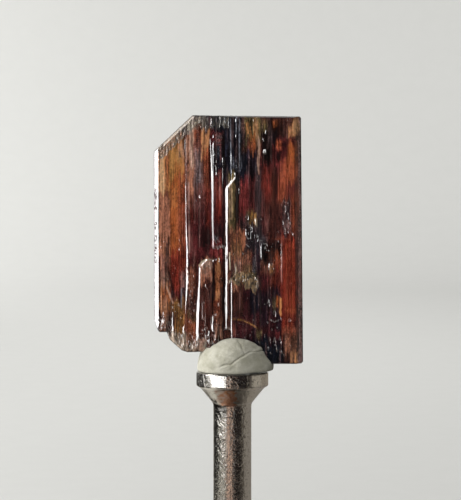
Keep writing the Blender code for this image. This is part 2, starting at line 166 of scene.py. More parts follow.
# Bevels: how wide each is in front view, and how deep it cuts.
LEFT_BEVEL = (0.38, 0.29)
RIGHT_BEVEL = (0.34, 0.30)
SHOULDER_LIP = (0.24, 0.30)
SHOULDER_BAND = (0.92, 0.05)
TOP_LIP = (0.06, 0.10)
FOOT_LIP = (0.2, 0.13)

# Etched ridges on the front: ((across, up) points, half width, height).
CURLS = [
    ([(4.93, 19.22), (5.05, 18.72), (5.22, 17.96)], 0.07, 0.05),  # in the dark panel
    ([(5.01, 17.71), (5.09, 17.21), (5.05, 16.8), (5.18, 16.38)], 0.07, 0.05),
    ([(5.52, 17.04), (5.68, 16.71), (5.64, 16.38)], 0.06, 0.04),
    ([(6.40, 20.6), (6.40, 17.88), (6.44, 16.28)], 0.08, 0.015),  # ribs above the long crystal
    ([(6.82, 20.6), (6.90, 19.72), (6.85, 19.13)], 0.07, 0.03),
    ([(7.24, 20.47), (7.11, 19.55), (7.16, 16.63)], 0.08, 0.035),
    ([(6.65, 16.96), (6.74, 16.54)], 0.06, 0.045),
    ([(6.90, 17.04), (6.95, 16.46)], 0.06, 0.045),
    ([(7.16, 16.63), (7.28, 16.21), (7.20, 15.95)], 0.07, 0.05),
    ([(8.00, 20.96), (8.04, 19.13), (8.13, 18.22)], 0.05, 0.03),  # upper right
    ([(7.75, 20.05), (7.83, 19.22)], 0.05, 0.03),
    ([(8.34, 20.39), (8.29, 18.72)], 0.05, 0.03),
    ([(9.26, 20.39), (9.18, 19.46)], 0.06, 0.045),
    ([(8.21, 15.12), (8.21, 14.53)], 0.06, 0.045),
    ([(8.00, 14.53), (8.00, 13.87)], 0.06, 0.045),
    ([(6.99, 12.7), (7.07, 12.28)], 0.07, 0.05),
    ([(10.69, 12.7), (10.69, 13.37), (10.82, 13.62), (11.16, 13.62), (11.24, 13.29)], 0.08, 0.06),
    ([(11.16, 12.7), (11.24, 12.03)], 0.07, 0.05),  # middle right
    ([(10.86, 11.61), (11.03, 11.11), (10.78, 10.94)], 0.07, 0.05),
    ([(11.41, 11.87), (11.24, 11.37), (11.49, 10.94)], 0.07, 0.05),
    ([(11.79, 12.28), (11.79, 11.7)], 0.06, 0.045),
    ([(7.70, 11.28), (7.70, 10.78), (7.87, 10.52), (8.08, 10.61), (8.21, 11.11)], 0.08, 0.06),
    ([(8.38, 10.86), (8.46, 10.36)], 0.06, 0.045),
    ([(8.67, 10.78), (8.71, 10.36), (8.97, 10.44)], 0.07, 0.05),
    ([(7.62, 10.11), (7.96, 9.86)], 0.07, 0.05),
    ([(8.97, 8.85), (8.93, 9.86), (9.05, 10.11), (9.35, 10.15), (9.51, 9.94), (9.56, 9.52)], 0.08, 0.06),
    ([(5.18, 11.19), (5.09, 10.86), (5.26, 10.52), (5.47, 10.28)], 0.07, 0.05),  # left of the long crystal
    ([(5.01, 10.52), (5.22, 10.11)], 0.07, 0.05),
    ([(5.43, 9.35), (5.26, 9.02), (5.52, 8.52)], 0.06, 0.04),
    ([(4.38, 7.01), (4.34, 6.51), (4.46, 6.34)], 0.06, 0.045),
    ([(4.72, 8.19), (4.80, 7.18)], 0.06, 0.045),
    ([(6.78, 8.33), (6.86, 7.82), (6.80, 7.36), (6.45, 7.16), (6.30, 6.84)], 0.07, 0.05),  # round the ledge
    ([(8.46, 7.27), (8.67, 6.93), (8.55, 6.43)], 0.08, 0.06),
    ([(8.34, 8.52), (8.29, 7.43)], 0.06, 0.04),
    ([(10.63, 10.11), (10.65, 7.43)], 0.05, 0.03),
    ([(9.73, 3.76), (10.06, 3.63), (10.40, 3.76)], 0.06, 0.045),  # lower right
    ([(9.98, 4.92), (10.02, 3.92)], 0.05, 0.03),
    ([(9.56, 2.0), (9.56, 1.33)], 0.06, 0.045),
    ([(10.23, 1.91), (10.27, 1.16)], 0.06, 0.045),
    ([(10.65, 2.0), (10.65, 0.99)], 0.06, 0.045),
    ([(5.14, 2.5), (5.14, 1.91)], 0.07, 0.05),
    ([(4.88, 4.06), (5.18, 4.17)], 0.06, 0.04),
]
# Chips that face left and catch a window's light: (across, up, half width, half length).
CHIPS = [
    (4.95, 18.9, 0.03, 0.15), (5.0, 18.2, 0.03, 0.18), (5.02, 17.4, 0.03, 0.2), (5.1, 16.9, 0.03, 0.16),
    (5.2, 15.9, 0.03, 0.16), (5.55, 16.9, 0.03, 0.16), (6.62, 16.6, 0.05, 0.1), (6.86, 16.5, 0.05, 0.16),
    (9.09, 18.72, 0.09, 0.13), (9.22, 17.76, 0.16, 0.20), (6.82, 18.96, 0.07, 0.16),
    (6.76, 15.89, 0.10, 0.10), (11.11, 20.38, 0.05, 0.25), (9.3, 19.4, 0.08, 0.26),
    (11.62, 10.94, 0.10, 0.20), (8.97, 9.39, 0.07, 0.60), (10.36, 10.28, 0.06, 0.08),
    (10.36, 9.1, 0.06, 0.08), (10.02, 8.77, 0.06, 0.08), (8.93, 12.2, 0.07, 0.10),
    (7.66, 12.33, 0.07, 0.12), (7.07, 14.53, 0.09, 0.28), (8.46, 11.94, 0.06, 0.30),
    (4.80, 20.1, 0.09, 0.30), (6.82, 20.3, 0.06, 0.20), (8.29, 20.3, 0.05, 0.14),
    (3.83, 13.95, 0.06, 0.12), (3.96, 14.37, 0.05, 0.06), (3.33, 7.34, 0.05, 0.06),
    (5.01, 17.54, 0.07, 0.08), (5.09, 16.63, 0.07, 0.10), (9.62, 8.2, 0.12, 0.22),
    (7.45, 9.19, 0.05, 0.10), (6.61, 9.27, 0.05, 0.10), (7.20, 8.52, 0.06, 0.12),
    (9.22, 5.09, 0.05, 0.06), (9.56, 5.18, 0.05, 0.06), (10.61, 3.83, 0.05, 0.06),
    (6.31, 8.77, 0.06, 0.25), (1.52, 2.21, 0.08, 0.08), (5.39, 5.01, 0.06, 0.10),
    (4.50, 1.67, 0.07, 0.20), (2.95, 19.96, 0.07, 0.25), (1.15, 7.16, 0.05, 0.06),
    (3.30, 6.47, 0.04, 0.06), (11.2, 16.18, 0.03, 0.2), (3.2, 9.12, 0.05, 0.12), (8.8, 7.16, 0.06, 0.1),
]
SPECK_SIZES = (0.022, 0.045)  # half the width of the tiny chips
# Patches strewn with them: (left, right, lower, upper, how many, seed).
SPECKLED = [
    (0.5, 2.5, 2.94, 11.28, 50, 1), (2.7, 3.5, 1.96, 9.32, 60, 2), (2.7, 4.6, 9.32, 16.18, 24, 3),
    (4.6, 6.3, 19.51, 20.3, 24, 4), (4.9, 6.3, 8.83, 12.75, 24, 5), (6.6, 10.5, 7.06, 12.94, 120, 6),
    (6.5, 10.6, 2.26, 7.06, 36, 7), (10.4, 12.0, 10.39, 13.73, 50, 8), (8.6, 11.8, 13.73, 20.2, 40, 9),
    (8.6, 12.0, 0.59, 2.16, 12, 10), (3.8, 5.6, 1.18, 8.43, 30, 11), (10.7, 11.9, 2.55, 10.2, 8, 12),
    (2.8, 4.2, 19.5, 20.5, 46, 13), (3.5, 5.8, 1.0, 3.2, 40, 14), (2.7, 4.3, 1.0, 2.0, 24, 15),
]
# Broken facets, as (depth, width, length, seed): coarse and fine where it is etched, then where it is
# broken.
ETCHED_SHARDS = (0.07, 0.17, 0.36, 41)
ETCHED_GRIT = (0.025, 0.08, 0.12, 44)
BROKEN_SHARDS = (0.2, 0.2, 0.5, 42)
BROKEN_GRIT = (0.05, 0.1, 0.2, 43)
FACE_STEPS = 0.016  # how high the fine steps between fibres are
FROST_WIDTH, FROST_END = 0.95, (6.0, 1.5)  # of the etched strip along the shoulder; where and how it fades
BREAK_HEIGHT, BREAK_END = 1.5, (5.5, 0.8)  # of the broken foot, and where and how it fades to the right
# Patches of the front that are etched, as (left, right, lower, upper, feather, how much, how ragged).
FROST_PATCHES = [(4.0, 6.25, 19.7, 21.5, 0.1, 0.7, 0.5), (3.85, 4.85, 7.5, 8.75, 0.1, 0.4, 1.0)]


def srgb(colour):
    """A hex colour as linear red, green and blue."""
    parts = np.array([int(colour[n:n + 2], 16) for n in (0, 2, 4)]) / 255.0
    return np.where(parts <= 0.04045, parts / 12.92, ((parts + 0.055) / 1.055) ** 2.4)


def smooth(x):
    """0 below 0, 1 above 1, and 3x^2 - 2x^3 between."""
    x = np.clip(x, 0.0, 1.0)
    return x * x * (3.0 - 2.0 * x)


def fibres(across, up, width, length, seed):
    """Noise from 0 to 1 in upright fibres: random values at every length along each width of crystal,
    each fibre slid by its own amount, and smooth between values and between fibres."""
    chance = np.random.default_rng(seed)
    table = chance.random((256, 256))
    slide = chance.random(256) * 64.0
    column = across / width + 64.0
    first = np.floor(column).astype(int)
    value = []
    for index in (first % 256, (first + 1) % 256):
        row = up / length + slide[index] + 8.0
        lower = np.floor(row).astype(int)
        mix = smooth(row - lower)
        value.append(table[index, lower % 256] * (1 - mix) + table[index, (lower + 1) % 256] * mix)
    mix = smooth(column - first)
    return value[0] * (1 - mix) + value[1] * mix


def staircase(across, up, least, most, length, seed):
    """Levels from 0 to 1 in flat strips between least and most wide, each level changing slowly along
    the strip."""
    chance = np.random.default_rng(seed)
    edges = np.cumsum(chance.uniform(least, most, int(16.0 / least))) - 1.0
    strip = np.searchsorted(edges, across)
    return fibres(strip * 1.0, up, 1.0, length, seed + 1)


def striations(bands, chance):
    """Narrow laths of uneven width, height and length, in the form of FRONT_LATHS."""
    for start, stop, low, high, on, least, greatest, count in bands:
        pitch = (stop - start) / count
        for index in range(count):
            left = start + pitch * (index + chance.uniform(0.0, 0.3))
            right = left + pitch * chance.uniform(0.45, 0.85)
            lean = chance.uniform(-0.02, 0.02)
            foot = low + chance.uniform(0.0, 0.4) * (high - low)
            top = high - chance.uniform(0.0, 0.4) * (high - low)
            out = on + chance.uniform(least, greatest)
            yield ((left, left + lean), (right, right + lean), foot, top, on, (out,))


def along_lath(values, share):
    """Values spread evenly from a lath's lower end to its upper one, read at a share of its length."""
    return np.interp(share, np.linspace(0.0, 1.0, len(values)), values)


def lath_height(across, up, lath, slope=STEP_SLOPE):
    """The lowest of a lath's five planes: two sides that rise from what it stands on, two ends and its
    face. Its broken ends are ragged from fibre to fibre."""
    lefts, rights, low, high, on, outs = lath
    share = (up - low) / (high - low)
    ragged = 0.35 * (fibres(across, up * 0.0, 0.09, 1.0, 5) - 0.5)
    return np.minimum.reduce([
        on + (across - along_lath(lefts, share)) * slope, on + (along_lath(rights, share) - across) * slope,
        on + (up - low - ragged) * END_SLOPE, on + (high + ragged - up) * END_SLOPE, along_lath(outs, share),
    ])


def beside_line(across, up, line):
    """How far a place lies to the lower right of a line."""
    (x0, z0), (x1, z1) = line
    return ((across - x0) * (z1 - z0) - (up - z0) * (x1 - x0)) / math.hypot(x1 - x0, z1 - z0)


def path_distance(across, up, path):
    """How far a place lies from a line of points."""
    nearest = np.full_like(across, 99.0)
    for (x0, z0), (x1, z1) in zip(path, path[1:]):
        length = (x1 - x0) ** 2 + (z1 - z0) ** 2
        along = np.clip(((across - x0) * (x1 - x0) + (up - z0) * (z1 - z0)) / length, 0.0, 1.0)
        nearest = np.minimum(nearest, np.hypot(across - x0 - along * (x1 - x0), up - z0 - along * (z1 - z0)))
    return nearest


def shoulder(across, up):
    """How far inside the sloping shoulder a place lies."""
    return beside_line(across, up, UPPER_EDGE[:2])


def bevel_height(across, up):
    """The lowest of the bevels' planes, each falling from wide inside an edge to deep under the face."""
    inside = shoulder(across, up)
    # Lifts that end a bevel: beside the left one, at the band's inner side and right of the broken foot.
    past_left = 2.0 * smooth((0.75 - across) / 0.35)
    past_band = 40.0 * smooth((inside - SHOULDER_BAND[0]) / 0.4)
    past_foot = 2.0 * smooth((across - 4.3) / 0.8)
    planes = [
        (across, *LEFT_BEVEL), (right_edge(up) + 0.01 - across, *RIGHT_BEVEL),
        (top_edge(across) - up, *TOP_LIP), (inside + past_left, *SHOULDER_LIP),
        (inside + past_band + past_left, *SHOULDER_BAND),
        (0.75 * (up - foot_edge(across)) + past_foot, *FOOT_LIP),
    ]
    return np.minimum.reduce([(inside - wide) * deep / wide for inside, wide, deep in planes])


def top_edge(across):
    """The height of the crystal's upper edge."""
    return np.interp(across, *zip(*UPPER_EDGE))


def foot_edge(across):
    """The height of its lower one."""
    return np.interp(across, *zip(*LOWER_EDGE))


def right_edge(up):
    """How far across its right edge lies, which leans in towards the top."""
    return WIDTH - RIGHT_LEAN * up


def shards(across, up, width, length, seed):
    """Broken facets: each cell of a slipped grid is a plane with its own tilt and level, from -1 to 1."""
    chance = np.random.default_rng(seed)
    slip = chance.random(512)
    column = across / width + 0.8 * (fibres(across, up, 0.4, 0.5, seed + 1) - 0.5) + 8.0
    first = np.floor(column).astype(int)
    wave = 0.9 * (fibres(across, up, 0.25, 0.3, seed + 2) - 0.5)
    row = up / length + slip[first % 512] * 7.0 + wave + 8.0
    second = np.floor(row).astype(int)
    tilt = chance.uniform(-1.0, 1.0, (3, 64, 64))
    cell = tilt[:, first % 64, second % 64]
    return cell[0] * (column - first - 0.5) + cell[1] * (row - second - 0.5) + 0.5 * cell[2]


def strewn():
    """The tiny chips of SPECKLED, in the form of CHIPS."""
    for left, right, low, high, count, seed in SPECKLED:
        chance = random.Random(seed)
        for _ in range(count):
            size = chance.uniform(*SPECK_SIZES)
            place = (chance.uniform(left, right), chance.uniform(low, high))
            yield (*place, size, size * chance.uniform(1.0, 3.0))


def nicks():
    """The tiny pits of NICKS, in the form of FRONT_PITS."""
    centre, low, high, count, seed = NICKS
    chance = random.Random(seed)
    wide, least, most, deep = NICK_SIZE
    for _ in range(count):
        across = centre + chance.uniform(-NICK_STRAY, NICK_STRAY)
        yield (across, chance.uniform(low, high), wide, chance.uniform(least, most), deep)


def add_chips(out, across, up, chips):
    """Tips a small oval of the face to the left, on the grid of places that it covers."""
    column = across[:, 0]
    for centre, middle, wide, long in chips:
        near = slice(*np.searchsorted(column, (centre - wide - 0.15, centre + wide + 0.3)))
        here, height = across[near], up[near]
        inside = np.hypot((here - centre) / wide, (height - middle) / long) < 1.0
        out[near] = np.where(inside, out[near] + (here - centre + wide) * STEP_SLOPE, out[near])
    return out


def relief(across, up, side):
    """How far a face stands out from the slab: the highest lath, with etched curls, chips, broken facets
    and fine steps between fibres, less its pits, and no higher than the bevels with their nicks."""
    chance = random.Random(STRIATION_SEED + side)
    laths, bands, pits = ((FRONT_LATHS, FRONT_BANDS, FRONT_PITS) if side < 0 else
                          (BACK_LATHS, BACK_BANDS, BACK_PITS))
    out = np.zeros_like(across)
    for lath in laths:
        out = np.maximum(out, lath_height(across, up, lath))
    for lath in striations(bands, chance):
        out = np.maximum(out, lath_height(across, up, lath, STRIATION_SLOPE))
    if side < 0:
        for lath, line in TIPPED_LATHS:
            tip = lath[4] + beside_line(across, up, line) * STEP_SLOPE
            out = np.maximum(out, np.minimum(lath_height(across, up, lath), tip))
        start, foot, sideways, upwards, most = CREST
        crest = np.minimum((across - start) * sideways, (up - foot) * upwards)
        out = np.maximum(out, np.minimum(crest, most))
        for path, half_width, height in CURLS:
            out = out + height * np.clip(1.2 - path_distance(across, up, path) / half_width * 1.2, 0.0, 1.0)
        out = add_chips(out, across, up, [*CHIPS, *strewn()])
    out = out + FACE_STEPS * (staircase(across, up, 0.07, 0.3, 3.0, 21 + side) - 0.5)
    for centre, middle, wide, long, deep in pits:
        depth = deep * (1.0 - np.abs(across - centre) / wide - np.abs(up - middle) / long)
        out = out - np.maximum(depth, 0.0)
    rough = frosting(across, up, side)
    chipped = broken(across, up)
    gritty = rough + 0.5 * ledge(across, up, side)
    for share, (deep, *cell) in ((rough, ETCHED_SHARDS), (gritty, ETCHED_GRIT),
                                 (chipped, BROKEN_SHARDS), (chipped, BROKEN_GRIT)):
        out = out + deep * share * shards(across, up, *cell)
    bevel = bevel_height(across, up) + 0.04 * rough
    for centre, middle, wide, long, deep in nicks():
        depth = deep * (1.0 - np.abs(across - centre) / wide - np.abs(up - middle) / long)
        bevel = bevel - np.maximum(depth, 0.0)
    return np.minimum(np.minimum(out, bevel), MOST_OUT)


def box_mask(across, up, left, right, low, high, feather):
    """1 inside a box and 0 outside, over a feather across and four times as much along the fibres."""
    along = feather * 4.0
    return (smooth((across - left) / feather + 0.5) * smooth((right - across) / feather + 0.5)
            * smooth((up - low) / along + 0.5) * smooth((high - up) / along + 0.5))


def frosting(across, up, side):
    """How etched the surface is: in a strip along the shoulder and, on the front, in FROST_PATCHES."""
    inside = shoulder(across, up)
    frost = smooth((FROST_WIDTH + 0.3 * (fibres(across, up, 0.15, 0.4, 47) - 0.5) - inside) / 0.12)
    end, fade = FROST_END
    frost = frost * smooth((end - across) / fade) * smooth((across - LEFT_BEVEL[0]) / 0.08)
    if side < 0:
        ragged = 0.6 * (fibres(across, up, 0.14, 3.0, 48) - 0.5)
        for *box, most, shift in FROST_PATCHES:
            frost = np.maximum(frost, most * box_mask(across, up + shift * ragged, *box))
    return frost


def ledge(across, up, side):
    """How much of a place belongs to the etched ledge, whose lower edge is ragged."""
    if side > 0:
        return np.zeros_like(across)
    ragged = 0.3 * (fibres(across, up * 0.0, 0.1, 1.0, 46) - 0.5)
    lower, upper = (np.interp(across, *zip(*edge)) for edge in (LEDGE_FOOT, LEDGE_TOP))
    return box_mask(across, up + ragged, *LEDGE_SPAN, lower, upper, 0.04)


def broken(across, up):
    """How broken the surface is: along the foot, left of the middle, and more so towards its edge."""
    rise = up - foot_edge(across) - 0.22
    foot = smooth((BREAK_HEIGHT + 1.2 * (fibres(across, up, 0.2, 2.0, 49) - 0.5) - rise) / 0.9)
    end, fade = BREAK_END
    return foot * smooth((end - across) / fade) * smooth(rise / 0.1)


# The crystal's own colours, and painted glints and sheens, as (hex, how clear, roughness).
# Cream is only painted glint; slate, beige, rose and mauve also serve for painted sheen.
STAINS_AND_PAINTED_SHEENS = {
    "amber": ("c8854f", 0.12, 0.12), "ochre": ("b48246", 0.5, 0.12), "orange": ("b06033", 0.7, 0.08),
    "rust": ("aa573a", 0.8, 0.08), "red": ("7c2e22", 0.86, 0.06), "crimson": ("883838", 0.8, 0.08),
    "maroon": ("562426", 0.8, 0.08), "mauve": ("8f6f6a", 0.5, 0.15), "brown": ("b87a5e", 0.4, 0.14),
    "umber": ("4e3024", 0.6, 0.12), "olive": ("70603c", 0.45, 0.2), "tan": ("cca088", 0.1, 0.25),
    "smoke": ("423a3c", 0.3, 0.1), "ink": ("141923", 0.12, 0.06), "pitch": ("170f0f", 0.25, 0.06),
    "frost": ("8a7c66", 0.1, 0.45), "cream": ("fff0cc", 0.1, 0.2), "slate": ("6e7078", 0.2, 0.12),
    "rose": ("b08c84", 0.3, 0.12), "beige": ("b0a08c", 0.15, 0.3), "ledge": ("866842", 0.1, 0.3),
    "gold": ("cc8c5c", 0.0, 0.15), "straw": ("dcaa7a", 0.05, 0.2),
}
# Zones of colour, in the order that they lie: (colour's name, left, right, lower, upper, feather, strength).
# The slate zones are painted sheen, grey light mirrored off facets, and the cream one is a painted glint.
ZONES = [
    ("maroon", -1.0, 13.0, -1.0, 22.0, 0.2, 1.0),
    # left panel
    ("amber", 0.3, 2.55, 14.51, 19.12, 0.3, 1.0), ("rust", 1.0, 1.3, 14.91, 17.45, 0.1, 0.5),
    ("ochre", 1.25, 2.3, 13.53, 17.94, 0.2, 0.7), ("orange", 1.7, 2.2, 14.71, 16.67, 0.2, 0.5),
    ("gold", 0.42, 0.95, 13.4, 17.26, 0.2, 0.6),
    ("straw", 0.44, 0.84, 14.0, 17.3, 0.08, 1.0),
    ("orange", 1.35, 2.15, 9.02, 15.3, 0.22, 0.95), ("amber", 1.5, 1.9, 12.96, 14.62, 0.16, 0.35),
    ("brown", 0.42, 0.95, 9.41, 14.0, 0.2, 0.9),
    ("umber", 0.9, 1.05, 12.94, 16.87, 0.08, 0.5), ("brown", 0.95, 1.38, 8.24, 13.92, 0.16, 0.85),
    ("rust", 2.05, 2.6, 7.84, 15.69, 0.2, 0.8), ("red", 1.3, 2.5, 6.08, 9.41, 0.25, 0.95),
    ("brown", 0.42, 0.95, 5.69, 10.39, 0.2, 0.75), ("mauve", 0.55, 0.95, 6.47, 9.22, 0.16, 0.4),
    ("pitch", 1.0, 1.3, 8.83, 10.39, 0.12, 0.85), ("umber", 0.9, 1.35, 6.47, 9.02, 0.16, 0.8),
    ("amber", 0.42, 1.3, 4.22, 6.47, 0.2, 0.8), ("rust", 0.6, 1.3, 5.1, 6.37, 0.2, 0.6),
    ("orange", 0.6, 1.4, 3.82, 5.1, 0.2, 0.5), ("ink", 2.2, 2.55, 4.31, 6.28, 0.12, 0.9),
    ("ink", 2.65, 3.45, 4.51, 6.08, 0.16, 0.85), ("ochre", 1.7, 2.55, 2.55, 5.3, 0.25, 0.65),
    ("umber", 2.0, 2.6, 4.2, 5.3, 0.1, 0.35), ("rose", 2.2, 2.6, 6.3, 7.6, 0.08, 0.45),
    ("umber", 1.3, 1.9, 3.14, 4.9, 0.2, 0.7), ("pitch", 0.9, 1.7, 3.24, 4.02, 0.16, 0.75),
    ("brown", 0.45, 0.9, 2.55, 3.53, 0.16, 0.7),
    ("ochre", 1.3, 2.0, 4.3, 5.3, 0.12, 0.35), ("tan", 2.0, 2.6, 17.2, 18.4, 0.15, 0.35),
    ("tan", 0.5, 1.2, 3.1, 5.4, 0.1, 0.3), ("tan", 0.5, 1.2, 6.3, 7.5, 0.1, 0.25),
    ("olive", 0.9, 3.3, 0.9, 2.4, 0.2, 0.45),
    ("tan", 1.2, 3.5, 1.0, 2.2, 0.1, 0.4), ("beige", 1.1, 4.3, 0.9, 2.6, 0.12, 0.6),
    ("pitch", 0.36, 0.44, 2.55, 17.26, 0.05, 0.9),
    # the panel between the first two bright edges
    ("brown", 2.75, 3.4, 13.34, 19.81, 0.2, 0.9), ("tan", 2.95, 3.3, 16.57, 19.81, 0.08, 0.95),
    ("mauve", 3.3, 4.1, 12.94, 18.44, 0.2, 0.8), ("slate", 3.5, 3.9, 14.71, 17.26, 0.14, 0.45),
    ("rust", 3.35, 4.0, 17.85, 19.81, 0.2, 0.6), ("gold", 3.95, 4.62, 17.06, 19.71, 0.12, 0.85),
    ("rust", 4.1, 4.65, 13.14, 17.94, 0.16, 0.85), ("pitch", 3.55, 3.75, 18.53, 19.32, 0.08, 0.8),
    ("pitch", 4.05, 4.2, 15.3, 16.96, 0.08, 0.5), ("maroon", 3.5, 4.3, 13.9, 15.1, 0.15, 0.5),
    ("maroon", 2.9, 4.6, 9.22, 14.32, 0.3, 0.8),
    ("pitch", 3.8, 4.65, 8.43, 11.77, 0.3, 0.75), ("red", 4.3, 4.62, 10.98, 14.12, 0.12, 0.8),
    ("umber", 2.8, 3.6, 1.37, 8.43, 0.2, 0.7), ("red", 2.8, 3.5, 11.8, 13.0, 0.15, 0.45),
    ("olive", 2.8, 3.5, 2.1, 4.2, 0.15, 0.35), ("rust", 3.0, 3.4, 5.88, 8.24, 0.2, 0.35),
    ("rust", 2.7, 3.5, 1.77, 3.53, 0.2, 0.6), ("brown", 2.7, 3.3, 6.18, 8.43, 0.16, 0.35),
    # the dark panel
    ("ink", 4.85, 7.75, 15.1, 21.0, 0.2, 0.97), ("maroon", 4.72, 5.2, 18.04, 19.61, 0.14, 0.7),
    ("crimson", 5.2, 5.8, 19.17, 19.51, 0.07, 0.75), ("crimson", 5.25, 5.85, 18.58, 18.78, 0.05, 0.7),
    ("crimson", 5.25, 5.75, 18.24, 18.36, 0.04, 0.55),
    ("mauve", 5.05, 5.75, 18.4, 19.4, 0.1, 0.3), ("slate", 5.05, 5.7, 17.3, 18.3, 0.1, 0.25),
    ("crimson", 5.5, 5.62, 17.06, 18.73, 0.05, 0.4),
    ("maroon", 4.88, 5.85, 11.18, 15.69, 0.16, 0.95), ("red", 5.15, 5.7, 11.96, 15.89, 0.12, 0.6),
    ("ink", 4.9, 5.85, 10.3, 11.57, 0.14, 0.5), ("slate", 5.0, 5.35, 10.2, 10.69, 0.1, 0.6),
    ("crimson", 5.1, 5.75, 14.9, 16.1, 0.12, 0.45),
    ("crimson", 4.8, 5.72, 8.73, 10.2, 0.14, 0.9), ("pitch", 4.52, 4.66, 9.81, 18.44, 0.05, 0.6),
    # the crystal at the foot
    ("maroon", 3.7, 5.85, 1.18, 8.73, 0.14, 0.9), ("umber", 3.7, 5.85, 0.98, 8.73, 0.14, 0.6),
    ("rust", 5.1, 5.55, 4.9, 8.63, 0.12, 0.95), ("gold", 5.12, 5.5, 5.4, 8.6, 0.08, 0.75),
    ("orange", 5.05, 5.65, 6.2, 7.7, 0.08, 0.5),
    ("pitch", 4.8, 5.0, 5.3, 7.75, 0.08, 0.9), ("red", 4.25, 4.5, 3.82, 4.9, 0.12, 0.4),
    ("rust", 5.05, 5.6, 3.33, 5.49, 0.2, 0.5), ("brown", 3.85, 4.85, 6.9, 8.73, 0.14, 0.7),
    ("tan", 3.95, 4.9, 8.04, 8.63, 0.1, 0.5), ("maroon", 3.75, 4.75, 8.85, 9.8, 0.05, 0.9),
    ("tan", 3.4, 4.4, 0.95, 2.1, 0.1, 0.5), ("brown", 5.0, 5.75, 2.0, 4.3, 0.1, 0.5),
    ("tan", 5.0, 5.75, 2.0, 3.1, 0.1, 0.25), ("pitch", 5.68, 5.9, 1.57, 19.61, 0.07, 0.85),
    # the long middle crystal, and what shows under it
    ("olive", 6.18, 6.74, 10.98, 15.98, 0.08, 1.0), ("tan", 6.2, 6.5, 12.16, 15.3, 0.12, 0.25),
    ("pitch", 6.76, 7.05, 11.57, 15.59, 0.08, 0.97), ("pitch", 7.05, 7.2, 14.71, 15.89, 0.1, 0.9),
    ("brown", 6.3, 7.6, 8.43, 11.37, 0.25, 0.85), ("orange", 6.6, 7.5, 9.22, 11.18, 0.3, 0.4),
    ("pitch", 7.3, 8.0, 8.6, 9.7, 0.12, 0.65),
    ("olive", 6.5, 7.3, 9.02, 10.2, 0.3, 0.5), ("umber", 5.95, 6.4, 0.78, 9.41, 0.14, 0.8),
    # upper right
    ("umber", 7.3, 8.9, 17.45, 21.0, 0.2, 0.9), ("olive", 7.55, 8.95, 18.34, 21.0, 0.1, 0.8),
    ("amber", 7.65, 7.85, 18.93, 20.2, 0.07, 0.8), ("gold", 8.25, 8.7, 18.63, 20.4, 0.1, 0.45),
    ("amber", 7.95, 8.1, 18.13, 19.6, 0.06, 0.8),
    ("orange", 8.1, 8.42, 17.55, 19.22, 0.08, 0.8), ("rust", 7.9, 8.3, 17.85, 18.53, 0.1, 0.6),
    ("ink", 7.4, 8.55, 15.69, 17.65, 0.16, 0.88),
    ("ink", 7.2, 7.8, 18.3, 19.4, 0.1, 0.5), ("slate", 6.5, 7.3, 16.2, 17.2, 0.1, 0.3),
    ("tan", 8.56, 8.82, 16.28, 18.73, 0.06, 0.65),
    ("umber", 8.9, 12.0, 18.83, 21.0, 0.25, 0.7), ("pitch", 8.95, 9.85, 16.8, 20.3, 0.12, 0.97),
    ("orange", 9.9, 10.3, 19.71, 20.3, 0.1, 0.7), ("pitch", 9.8, 11.1, 18.6, 20.2, 0.14, 0.55),
    ("gold", 11.2, 12.25, 18.95, 19.8, 0.25, 0.9), ("gold", 11.55, 12.25, 19.1, 20.3, 0.25, 0.95),
    ("straw", 11.6, 12.25, 19.2, 20.2, 0.25, 0.6),
    ("maroon", 10.3, 12.0, 18.14, 18.9, 0.16, 0.8),
    ("orange", 11.1, 12.0, 15.1, 18.34, 0.2, 0.85), ("rust", 10.5, 12.0, 13.34, 16.87, 0.3, 0.75),
    ("maroon", 11.0, 12.0, 13.7, 15.1, 0.15, 0.85), ("pitch", 9.6, 10.3, 13.9, 15.2, 0.1, 0.35),
    ("ink", 9.5, 10.3, 18.3, 19.5, 0.1, 0.6), ("olive", 8.8, 9.5, 19.4, 20.5, 0.1, 0.4),
    ("rust", 10.15, 10.65, 17.85, 18.63, 0.1, 0.95), ("pitch", 10.25, 10.6, 16.92, 17.75, 0.08, 0.97),
    ("crimson", 10.1, 10.6, 16.28, 16.87, 0.1, 0.6), ("rust", 10.35, 11.0, 13.53, 16.18, 0.2, 0.4),
    ("red", 9.0, 9.8, 13.53, 16.47, 0.2, 0.6), ("pitch", 10.1, 10.35, 14.12, 16.28, 0.08, 0.8),
    ("pitch", 10.75, 11.0, 17.75, 18.53, 0.08, 0.6), ("umber", 9.75, 10.15, 13.14, 16.28, 0.12, 0.6),
    # middle right
    ("crimson", 7.15, 7.95, 12.16, 15.4, 0.14, 0.95), ("ink", 7.3, 8.0, 15.0, 16.2, 0.12, 0.5),
    ("maroon", 7.95, 8.35, 12.55, 15.3, 0.12, 0.6),
    ("smoke", 8.4, 8.95, 10.59, 16.28, 0.14, 0.85), ("olive", 7.7, 8.52, 11.57, 12.7, 0.14, 0.9),
    # The cream zone here is a painted glint.
    ("ochre", 7.95, 8.5, 11.67, 12.65, 0.1, 0.8), ("cream", 8.38, 8.52, 11.52, 12.16, 0.06, 0.5),
    ("smoke", 7.1, 7.9, 11.37, 12.55, 0.16, 0.6), ("smoke", 7.6, 9.3, 9.22, 11.57, 0.2, 0.85),
    ("umber", 5.8, 6.5, 9.7, 10.7, 0.1, 0.3),
    ("ink", 7.8, 8.9, 9.41, 11.18, 0.25, 0.5), ("maroon", 9.0, 10.5, 10.39, 13.34, 0.25, 0.8),
    ("umber", 9.3, 10.6, 8.83, 13.73, 0.25, 0.5), ("smoke", 10.65, 11.5, 10.79, 13.63, 0.14, 0.75),
    ("mauve", 10.75, 11.4, 10.98, 11.96, 0.12, 0.4), ("rust", 11.4, 12.1, 10.59, 14.12, 0.2, 0.7),
    ("ink", 8.25, 9.4, 6.86, 9.71, 0.2, 0.8), ("slate", 8.8, 9.5, 9.7, 10.7, 0.12, 0.25),
    ("brown", 8.85, 9.5, 7.5, 8.6, 0.12, 0.35), ("tan", 9.55, 10.2, 7.5, 8.5, 0.1, 0.35),
